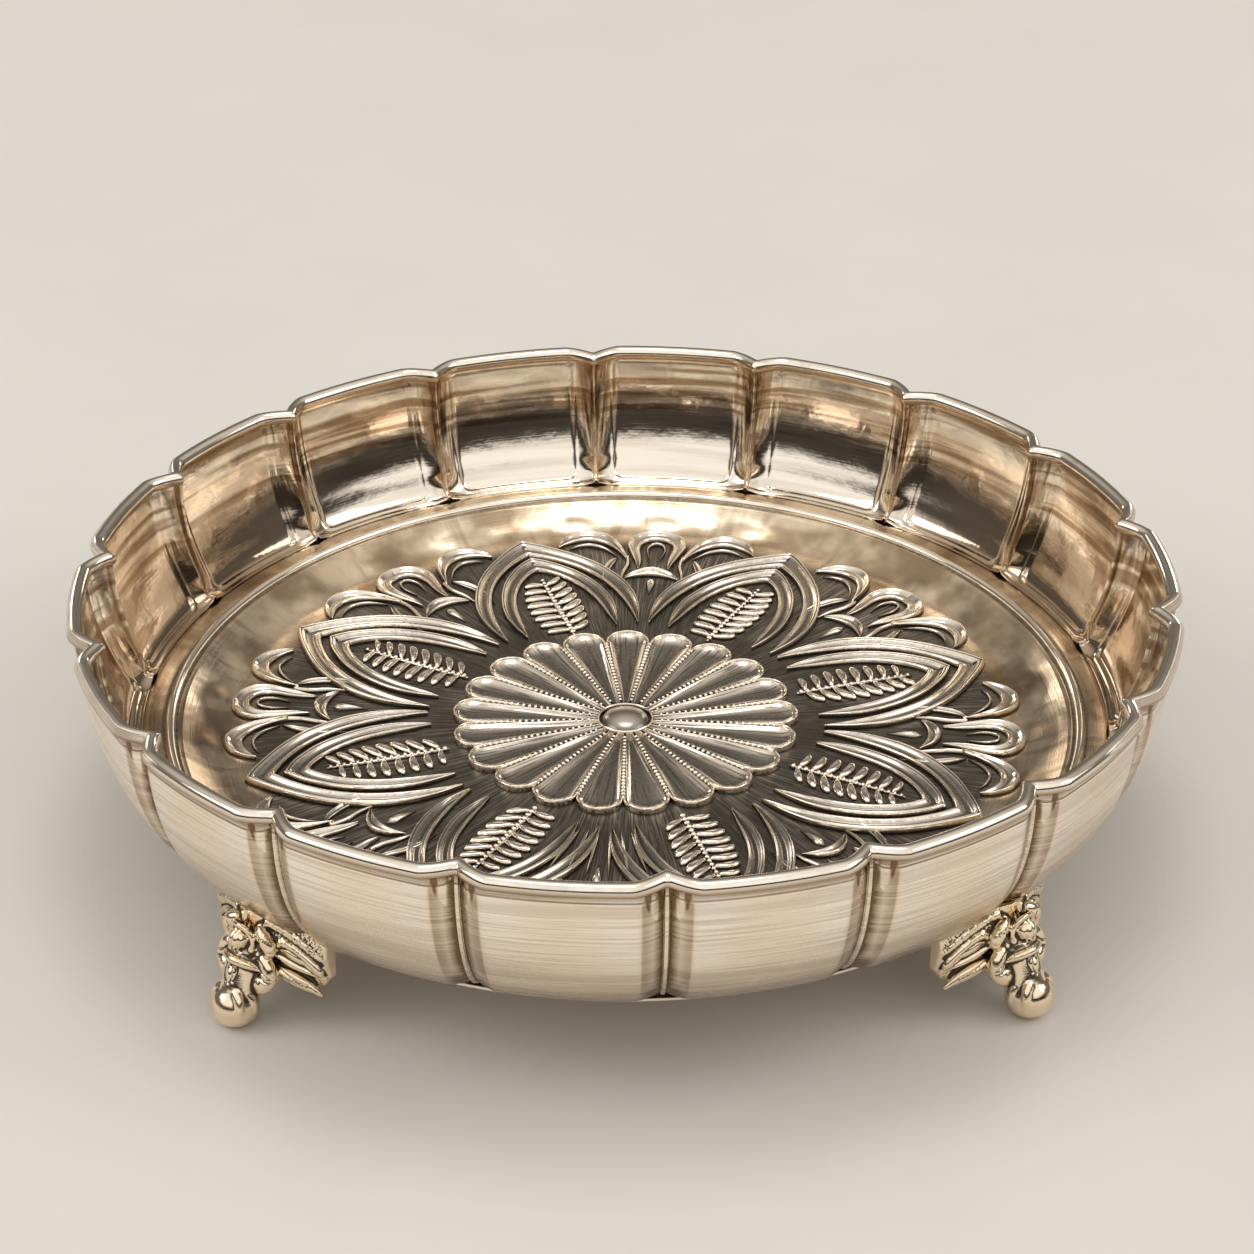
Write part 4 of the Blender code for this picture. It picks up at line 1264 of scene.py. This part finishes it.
class LOTUS_OT_leaves(bpy.types.Operator):
    """Eight pointed leaves, each of two mitred bands, with a fern spray inside"""

    bl_idname = "lotus.leaves"
    bl_label = "Leaves and ferns"

    def execute(self, context):
        floor, finishes = context.scene.lotus_floor, context.scene.lotus_finishes
        ground, level = floor.ground_level, partial(floor_height, floor)
        turns = {"Count": floor.leaves, "First_turn": floor.leaf_turn}
        bands = [
            lined_band(OUTER_LEAF, 1.80 * MM, 0.35, BAND_SECTION, level, both=True),
            lined_band(INNER_LEAF, 1.60 * MM, 0.35, BAND_SECTION, level, both=True),
        ]
        silver = relief(finishes, "leaf_silver", ground, 0.28 * MM, 1.22 * MM, 0.12, 0.40, 0.0008)
        ornament("leaf_bands", joined(bands), round_the_axis, fold_depth, Material=silver, **turns)
        silver = relief(finishes, "fern_silver", ground, 0.15 * MM, 0.70 * MM, 0.15)
        ornament(
            "fern_leaflets", leaflet_part(), leaflets_on_stems, fold_depth, Material=silver,
            Stems=floor.leaves, Pairs=floor.leaflets, First_turn=floor.leaf_turn,
            First_radius=44.6 * MM, Last_radius=68.0 * MM, Lean=radians(72.0), Level=ground,
        )
        stem = ridge(FERN_STEM, 16, RIDGE_SECTION, level)
        ornament("fern_stems", stem, round_the_axis, Material=silver, **turns)
        ornament(
            "stem_beads", egg((0, 0, 0), (0.52 * MM, 0.68 * MM, 0.50 * MM), 6, 10), beads_on_ribs,
            Material=silver, Ribs=floor.leaves, Beads=18, First_turn=floor.leaf_turn, First_radius=43.5 * MM,
            Last_radius=70.5 * MM, Level=ground + 0.62 * MM, First_size=1.1, Last_size=0.75,
        )
        return {"FINISHED"}


class LOTUS_OT_palmettes(bpy.types.Operator):
    """Eight palmettes between the leaves: hooded lobes, a crescent and a drop"""

    bl_idname = "lotus.palmettes"
    bl_label = "Palmettes"

    def execute(self, context):
        floor, finishes = context.scene.lotus_floor, context.scene.lotus_finishes
        level = partial(floor_height, floor)
        raised = relief(
            finishes, "palmette_silver", floor.ground_level, 0.22 * MM, 1.02 * MM, 0.12, 0.25, 0.0008
        )
        parts = [
            lined_band(HOOD, 1.60 * MM, 0.45, HOOD_SECTION, level, both=True),
            ridge(other_side(LOOP_SIDE)[:-1] + LOOP_SIDE, 36, RIDGE_SECTION, level),
        ]
        for part in (
            lined_band(HOOK, 1.60 * MM, 0.30, HOOD_SECTION, level),
            ridge(CURL, 28, RIDGE_SECTION, level),
            ridge(ARM, 24, RIDGE_SECTION, level),
            ridge(FROND, 28, HOOD_SECTION, level),
        ):
            parts += [part, mirrored(part)]
        parts.append(lined_band(CRESCENT, 1.50 * MM, 0.40, HOOD_SECTION, level, 20, both=True))
        parts.append(ridge(DROP, 16, RIDGE_SECTION, level))
        step = 2.0 * pi / floor.leaves
        first = floor.leaf_turn + step / 2.0
        turns = {"Material": raised, "Count": floor.leaves, "First_turn": first}
        ornament("palmettes", joined(parts), round_the_axis, fold_depth, **turns)

        fan = []
        for tilt in (-9.0, -5.6, -2.0, 2.0, 5.6, 9.0):
            rib = []
            for share, wide, tall in ((0.0, 0.12, 0.4), (0.3, 0.55, 1.0), (0.7, 0.45, 0.9), (1.0, 0.1, 0.3)):
                reach = 47.0 + 19.0 * share
                angle = floor.leaf_turn + 5.5 * step + radians(tilt) * (0.75 + 0.35 * share)
                rib.append((reach * cos(angle), reach * sin(angle), wide, tall))
            fan.append(ridge(rib, 18, RIDGE_SECTION, level))
        piece(make_object("front_fan", *joined(fan)), "floor_plate", raised)
        return {"FINISHED"}


# ---------------------------------------------------------------- feet

# All in millimetres. A tube has points along its spline, sides, and rows of x, y, z and radius, where
# x counts from the bracket's ridge. On a wing all rows of a tube lie equally far out from its face.
MIDDLE_TUBES = [
    (24, 10, [
        (1.6, -5.4, 14.6, 0.5), (3.6, -3.4, 16.0, 0.95), (4.9, 0.0, 16.6, 1.0), (3.6, 3.4, 16.0, 0.95),
        (1.6, 5.4, 14.6, 0.5),
    ]),
    (14, 12, [(4.2, 0.0, 15.6, 0.6), (4.6, 0.0, 13.6, 1.7), (5.4, 0.0, 11.4, 1.4), (6.6, 0.0, 9.6, 0.6)]),
]
WING_TUBES = [
    (24, 10, 0.35, [
        (4.2, 25.2, 0.9), (8.0, 24.0, 1.05), (12.0, 21.8, 1.05), (15.4, 19.4, 0.95), (17.0, 18.6, 0.7),
    ]),
    (40, 12, 0.7, [
        (5.8, 19.6, 0.9), (8.4, 21.0, 1.15), (11.8, 19.6, 1.15), (15.4, 16.0, 0.95), (16.4, 14.4, 0.5),
    ]),
    (32, 12, 0.6, [
        (5.9, 18.6, 0.7), (7.4, 17.2, 0.9), (9.6, 16.0, 0.9), (12.6, 15.2, 0.85), (16.0, 14.2, 0.5),
    ]),
    (26, 12, 0.1, [(7.2, 19.0, 0.5), (9.4, 18.4, 1.3), (12.2, 17.0, 1.1), (15.0, 15.2, 0.4)]),
    (22, 12, 0.5, [(5.0, 14.4, 0.9), (9.0, 12.8, 1.55), (12.6, 11.4, 1.45), (16.2, 9.2, 0.45)]),
    (18, 10, 0.3, [(11.4, 17.8, 0.5), (13.6, 15.8, 0.9), (15.8, 14.2, 0.8), (17.2, 13.6, 0.3)]),
]
CURL_TUBE = [
    (0.6, 4.0, 17.4, 1.2), (0.6, 6.4, 15.8, 1.7), (0.9, 7.0, 13.0, 2.0), (1.6, 5.8, 10.6, 1.9),
    (2.2, 4.2, 10.2, 1.3),
]
BULGE_TUBE = [(-0.6, 3.0, 23.6, 1.2), (0.2, 5.2, 22.4, 1.6), (-0.2, 6.6, 19.8, 1.6), (-0.2, 5.8, 17.4, 1.1)]

# Lines cut into the casting: rows of distance aside and height, half width, depth
CUTS = [
    ([(6.2, 23.6), (10.0, 22.0), (13.4, 19.6), (16.4, 17.2)], 0.30, 0.55),
    ([(7.4, 19.4), (9.6, 19.6), (12.4, 18.2), (14.6, 16.2)], 0.22, 0.45),
    ([(7.2, 18.0), (9.6, 17.0), (12.4, 15.9), (14.4, 15.1)], 0.22, 0.45),
    ([(0.0, 23.6), (0.0, 18.4)], 0.22, 0.40),
    ([(1.3, 23.2), (1.6, 20.9), (1.3, 18.6)], 0.22, 0.40),
    ([(6.0, 13.6), (10.0, 12.0), (14.6, 9.8)], 0.24, 0.55),
    ([(6.0, 15.2), (9.6, 13.4), (13.8, 11.6)], 0.20, 0.35),
    ([(12.6, 16.2), (15.2, 14.4), (16.6, 13.8)], 0.22, 0.40),
    ([(0.0, 15.2), (0.9, 13.2), (0.4, 11.4)], 0.22, 0.35),
    ([(1.6, 15.6), (1.8, 13.8), (1.3, 12.0)], 0.22, 0.35),
    ([(4.9, 17.4), (5.0, 19.6), (5.2, 22.4)], 0.25, 0.40),
]
WING_SWEEP = 7.2  # how far a wing's end lies behind the ridge


def bracket(ridge_at, wide):
    """The angled plate of a foot, from wing to wing, with a wavy lower edge."""
    columns, rows, top, thickness = np.linspace(-1.0, 1.0, 41), 15, 26.6, 2.4
    lower = np.interp(np.abs(columns), [0.0, 0.28, 0.55, 0.88, 1.0], [13.2, 15.0, 13.6, 10.6, 14.0])
    points = []
    for front in (True, False):
        for share, low in zip(columns, lower):
            out = ridge_at - WING_SWEEP * (np.sqrt(share**2 + 0.006) - 0.0775) / 0.93
            for up in np.arange(rows) / (rows - 1.0):
                bulge = 0.9 * sin(pi * min(1.0, up * 1.1)) - 0.6 * (1.0 - up) ** 2
                points.append((out + (bulge if front else -thickness), share * wide, low + (top - low) * up))
    count, shift = len(columns), len(columns) * rows
    faces = grid_faces(count, rows)
    faces += [quad[::-1] for quad in grid_faces(count, rows, first=shift)]
    for i in range(count - 1):
        a, b = i * rows, (i + 1) * rows
        faces.append([a, a + shift, b + shift, b])
        a, b = a + rows - 1, b + rows - 1
        faces.append([b, b + shift, a + shift, a])
    for k in range(rows - 1):
        faces.append([k, k + 1, k + 1 + shift, k + shift])
        a = (count - 1) * rows + k
        faces.append([a + 1, a, a + shift, a + 1 + shift])
    return points, faces


def foot_parts(foot):
    """Closed shapes of one casting, standing out along +X, which are then fused."""
    ridge_at, toe_at, wide = foot.ridge_radius / MM, foot.toe_place / MM, foot.wing_width / MM

    def ridge_tube(count, sides, rows):
        return tube(spline([(ridge_at + out, *rest) for out, *rest in rows], count), sides)

    leg = [(-3.2, 0.0, 19.4, 5.2), (-0.6, 0.0, 15.6, 5.3), (1.2, 0.0, 12.2, 4.8), (2.8, 0.0, 9.0, 4.6)]
    leg.append((toe_at - 1.0 - ridge_at, 0.0, 6.0, 4.9))
    ball = toe_at - 0.5
    collar = []
    for angle in np.linspace(0.0, 2.0 * pi, 37):
        aside = 3.4 * sin(angle)
        collar.append((ridge_at + 2.5 - 0.07 * aside**2, aside, 20.9 + 3.3 * cos(angle), 0.62))
    parts = [
        bracket(ridge_at, wide),
        ridge_tube(22, 28, leg),
        egg((ball, 0.0, 5.0), (5.4, 5.4, 5.2), 22, 36),
        egg((ridge_at + 2.6, 0.0, 20.9), (2.5, 2.4, 2.4), 16, 28),
        tube(collar, 10),
    ]
    parts += [ridge_tube(*row) for row in MIDDLE_TUBES]
    for aside, reach in ((62.0, 4.92), (-62.0, 4.92), (104.0, 5.0), (-104.0, 5.0)):
        claw = []
        for tilt, radius in ((74.0, 1.5), (56.0, 1.9), (36.0, 1.7), (14.0, 1.4), (-6.0, 0.9), (-22.0, 0.3)):
            out, up = reach * cos(radians(tilt)), max(5.0 + 4.9 * sin(radians(tilt)), 0.9)
            claw.append((ball + out * cos(radians(aside)), out * sin(radians(aside)), up, radius * 0.72))
        parts.append(tube(spline(claw, 20), 12))
    one_side = []
    for count, sides, out, rows in WING_TUBES:
        rows = [(ridge_at - WING_SWEEP * y / wide + out, y, z, radius) for y, z, radius in rows]
        one_side.append(tube(spline(rows, count), sides))
    one_side.append(ridge_tube(26, 14, CURL_TUBE))
    one_side.append(egg((ridge_at + 1.6, 5.6, 11.2), (2.1, 2.0, 2.3), 12, 18))
    one_side.append(ridge_tube(24, 14, BULGE_TUBE))
    for part in one_side:
        parts += [part, mirrored(part)]
    return parts


def line_distance(places, line):
    """Shortest distance from each place to a line of points, all in one plane."""
    best = np.full(len(places), 1e9)
    for a, b in zip(line[:-1], line[1:]):
        span = b - a
        share = unit(((places - a) @ span) / max(span @ span, 1e-12))
        best = np.minimum(best, np.linalg.norm(places - a - share[:, None] * span, axis=1))
    return best


def chased(points, foot):
    """Cuts the finer lines of the casting into its outer face. Points are in millimetres."""
    x, y, z = points.T
    aside = np.abs(y)
    wing = foot.ridge_radius / MM - WING_SWEEP * aside / (foot.wing_width / MM)
    face = smoothstep(-1.6, -0.4, x - wing) * smoothstep(8.5, 10.5, z)
    push = np.zeros(len(points))
    for line, half, depth in CUTS:
        push -= depth * bell(line_distance(np.stack([aside, z], 1), spline(line, 14)), 0.0, half) * face
    grain = np.sin(y * 7.1 + 1.3 * np.sin(z * 5.3)) * np.sin(z * 7.7 + np.sin(y * 4.1))
    upper = smoothstep(21.5, 23.0, z + 0.36 * aside - 2.0) * smoothstep(5.0, 6.0, aside)
    push += 0.20 * grain * upper * face
    return np.stack([x + push, y, np.maximum(z, 0.0)], 1)


class LOTUS_OT_feet(bpy.types.Operator):
    """Four cast feet: a scroll bracket with a leg and a clawed ball toe"""

    bl_idname = "lotus.feet"
    bl_label = "Feet"

    def execute(self, context):
        foot = context.scene.lotus_foot
        material = cast_finish(context.scene.lotus_finishes)
        points, faces = joined(foot_parts(foot))
        rough = make_object("casting", np.array(points) * MM, faces)
        face_outwards(rough.data)
        remesh = rough.modifiers.new("fuse", "REMESH")
        remesh.mode = "VOXEL"
        remesh.voxel_size = foot.voxel
        remesh.adaptivity = 0.0
        soften = rough.modifiers.new("soften", "SMOOTH")
        soften.factor = 0.5
        soften.iterations = 2
        graph = bpy.context.evaluated_depsgraph_get()
        mesh = bpy.data.meshes.new_from_object(rough.evaluated_get(graph))
        bpy.data.objects.remove(rough, do_unlink=True)
        places = chased(mesh_arrays(mesh)[0] / MM, foot)
        mesh.vertices.foreach_set("co", (places * MM).ravel())
        mesh.update()
        mark(mesh, hollow_depth(mesh))
        for i, name in enumerate(("back_right", "back_left", "front_left", "front_right")):
            own = mesh.copy()
            own.transform(Matrix.Rotation(radians(45.0 + 90.0 * i), 4, "Z"))
            obj = bpy.data.objects.new("casting_" + name, own)
            bpy.context.scene.collection.objects.link(obj)
            piece(obj, "foot_" + name, material)
        return {"FINISHED"}


# ---------------------------------------------------------------- stage

# name, place, size, power and colour of the area lights, which all face the plate
LIGHTS = (
    ("overhead", (0.02, 0.30, 1.75), (0.55, 0.60), 4.2, (1.0, 0.99, 0.97)),
    ("back_left", (-0.80, 1.50, 0.60), (0.20, 0.55), 1.3, (1.0, 0.94, 0.86)),
    ("back_right", (0.75, 1.50, 0.52), (0.16, 0.50), 1.0, (1.0, 0.95, 0.88)),
    ("left", (-1.5, -0.25, 1.35), (1.0, 1.0), 8.0, (1.0, 0.98, 0.95)),
    ("right", (1.5, -0.15, 1.30), (1.0, 1.0), 7.0, (1.0, 0.98, 0.95)),
)


def soft_light(name, place, size, power, tint):
    lamp = bpy.data.lights.new(name, "AREA")
    lamp.shape = "RECTANGLE"
    lamp.size, lamp.size_y = size
    lamp.energy = power
    lamp.color = tint
    obj = bpy.data.objects.new(name, lamp)
    bpy.context.scene.collection.objects.link(obj)
    away = Vector(place) - Vector((0.0, 0.0, 0.03))
    obj.matrix_world = Matrix.Translation(place) @ away.to_track_quat("Z", "Y").to_matrix().to_4x4()


def table_finish(finishes):
    """Plain pale paint with faint clouds."""
    paint = bpy.data.materials.new("table_finish")
    paint.use_nodes = True
    shade = Shade(paint.node_tree)
    inputs = paint.node_tree.nodes["Principled BSDF"].inputs
    cloud = shade.ramp(shade.noise(shade.place(), 9.0, 4.0, 0.6), 0.3, 0.7)
    shade.link(shade.mix(cloud, (*finishes.table, 1.0), darker(finishes.table, 0.965)), inputs["Base Color"])
    inputs["Roughness"].default_value = 0.55
    return paint


def studio_world(world):
    """Pale above, grey round the sides; in front of the plate a dark floor under a pale wall."""
    world.use_nodes = True
    shade = Shade(world.node_tree)
    way = shade.node("ShaderNodeTexCoord")["Generated"]
    parts = shade.node("ShaderNodeSeparateXYZ", Vector=way)
    around = shade.node("ShaderNodeValToRGB", Fac=parts["Z"])
    stops = around.node.color_ramp.elements
    stops[0].position, stops[0].color = 0.0, (0.16, 0.14, 0.12, 1.0)
    stops[1].position, stops[1].color = 1.0, (1.05, 1.04, 1.01, 1.0)
    for at, grey in ((0.12, 0.15), (0.30, 0.20), (0.46, 0.155), (0.62, 0.40), (0.85, 0.85)):
        stops.new(at).color = (grey, grey * 0.93, grey * 0.84, 1.0)
    ahead = shade.ramp(parts["Y"], -0.45, 0.0, 1.0, 0.0)
    horizon = shade.ramp(parts["Z"], 0.27, 0.36)
    front = shade.mix(horizon, (0.05, 0.042, 0.035, 1.0), (1.12, 1.10, 1.06, 1.0))
    inputs = world.node_tree.nodes["Background"].inputs
    shade.link(shade.mix(ahead, around["Color"], front), inputs["Color"])
    inputs["Strength"].default_value = 0.9


class LOTUS_OT_stage(bpy.types.Operator):
    """Plain pale floor, soft studio light and the camera"""

    bl_idname = "lotus.stage"
    bl_label = "Stage"

    def execute(self, context):
        scene = context.scene
        stage = scene.lotus_stage
        profile = [(0.0, 0.0), (stage.table_radius, 0.0), (stage.table_radius, -0.02), (0.0, -0.02)]
        table = make_object("table", *turned(profile, 128))
        face_outwards(table.data)
        table.data.materials.append(table_finish(scene.lotus_finishes))

        scene.world = bpy.data.worlds.new("studio")
        studio_world(scene.world)
        for light in LIGHTS:
            soft_light(*light)

        lens = bpy.data.cameras.new("camera")
        lens.lens = stage.lens
        lens.sensor_width = 36.0
        lens.clip_start = 0.01
        camera = bpy.data.objects.new("camera", lens)
        scene.collection.objects.link(camera)
        where = Matrix.Translation((stage.camera_x, stage.camera_y, stage.camera_z))
        heading, tilt = Matrix.Rotation(stage.heading, 4, "Z"), Matrix.Rotation(stage.tilt, 4, "X")
        camera.matrix_world = where @ heading @ tilt
        scene.camera = camera
        scene.view_settings.view_transform = "Standard"
        return {"FINISHED"}


OPERATORS = (
    LOTUS_OT_wall,
    LOTUS_OT_lip,
    LOTUS_OT_base,
    LOTUS_OT_floor,
    LOTUS_OT_rosette,
    LOTUS_OT_leaves,
    LOTUS_OT_palmettes,
    LOTUS_OT_feet,
    LOTUS_OT_stage,
)


class LOTUS_PT_plate(bpy.types.Panel):
    """Buttons that make the plate's pieces"""

    bl_label = "Lotus plate"
    bl_idname = "LOTUS_PT_plate"
    bl_space_type = "VIEW_3D"
    bl_region_type = "UI"
    bl_category = "Lotus plate"

    def draw(self, context):
        column = self.layout.column()
        for operator in OPERATORS:
            column.operator(operator.bl_idname)


SETTINGS = {
    "lotus_wall": WallSizes,
    "lotus_floor": FloorSizes,
    "lotus_foot": FootSizes,
    "lotus_finishes": Finishes,
    "lotus_stage": StageSizes,
}


def register():
    for kind in (*SETTINGS.values(), *OPERATORS, LOTUS_PT_plate):
        bpy.utils.register_class(kind)
    for name, kind in SETTINGS.items():
        setattr(bpy.types.Scene, name, PointerProperty(type=kind))


def unregister():
    for name in SETTINGS:
        delattr(bpy.types.Scene, name)
    for kind in (LOTUS_PT_plate, *OPERATORS[::-1], *SETTINGS.values()):
        bpy.utils.unregister_class(kind)


def main():
    register()
    for operator in OPERATORS:
        getattr(bpy.ops.lotus, operator.bl_idname.split(".")[1])()


if __name__ == "__main__":
    main()
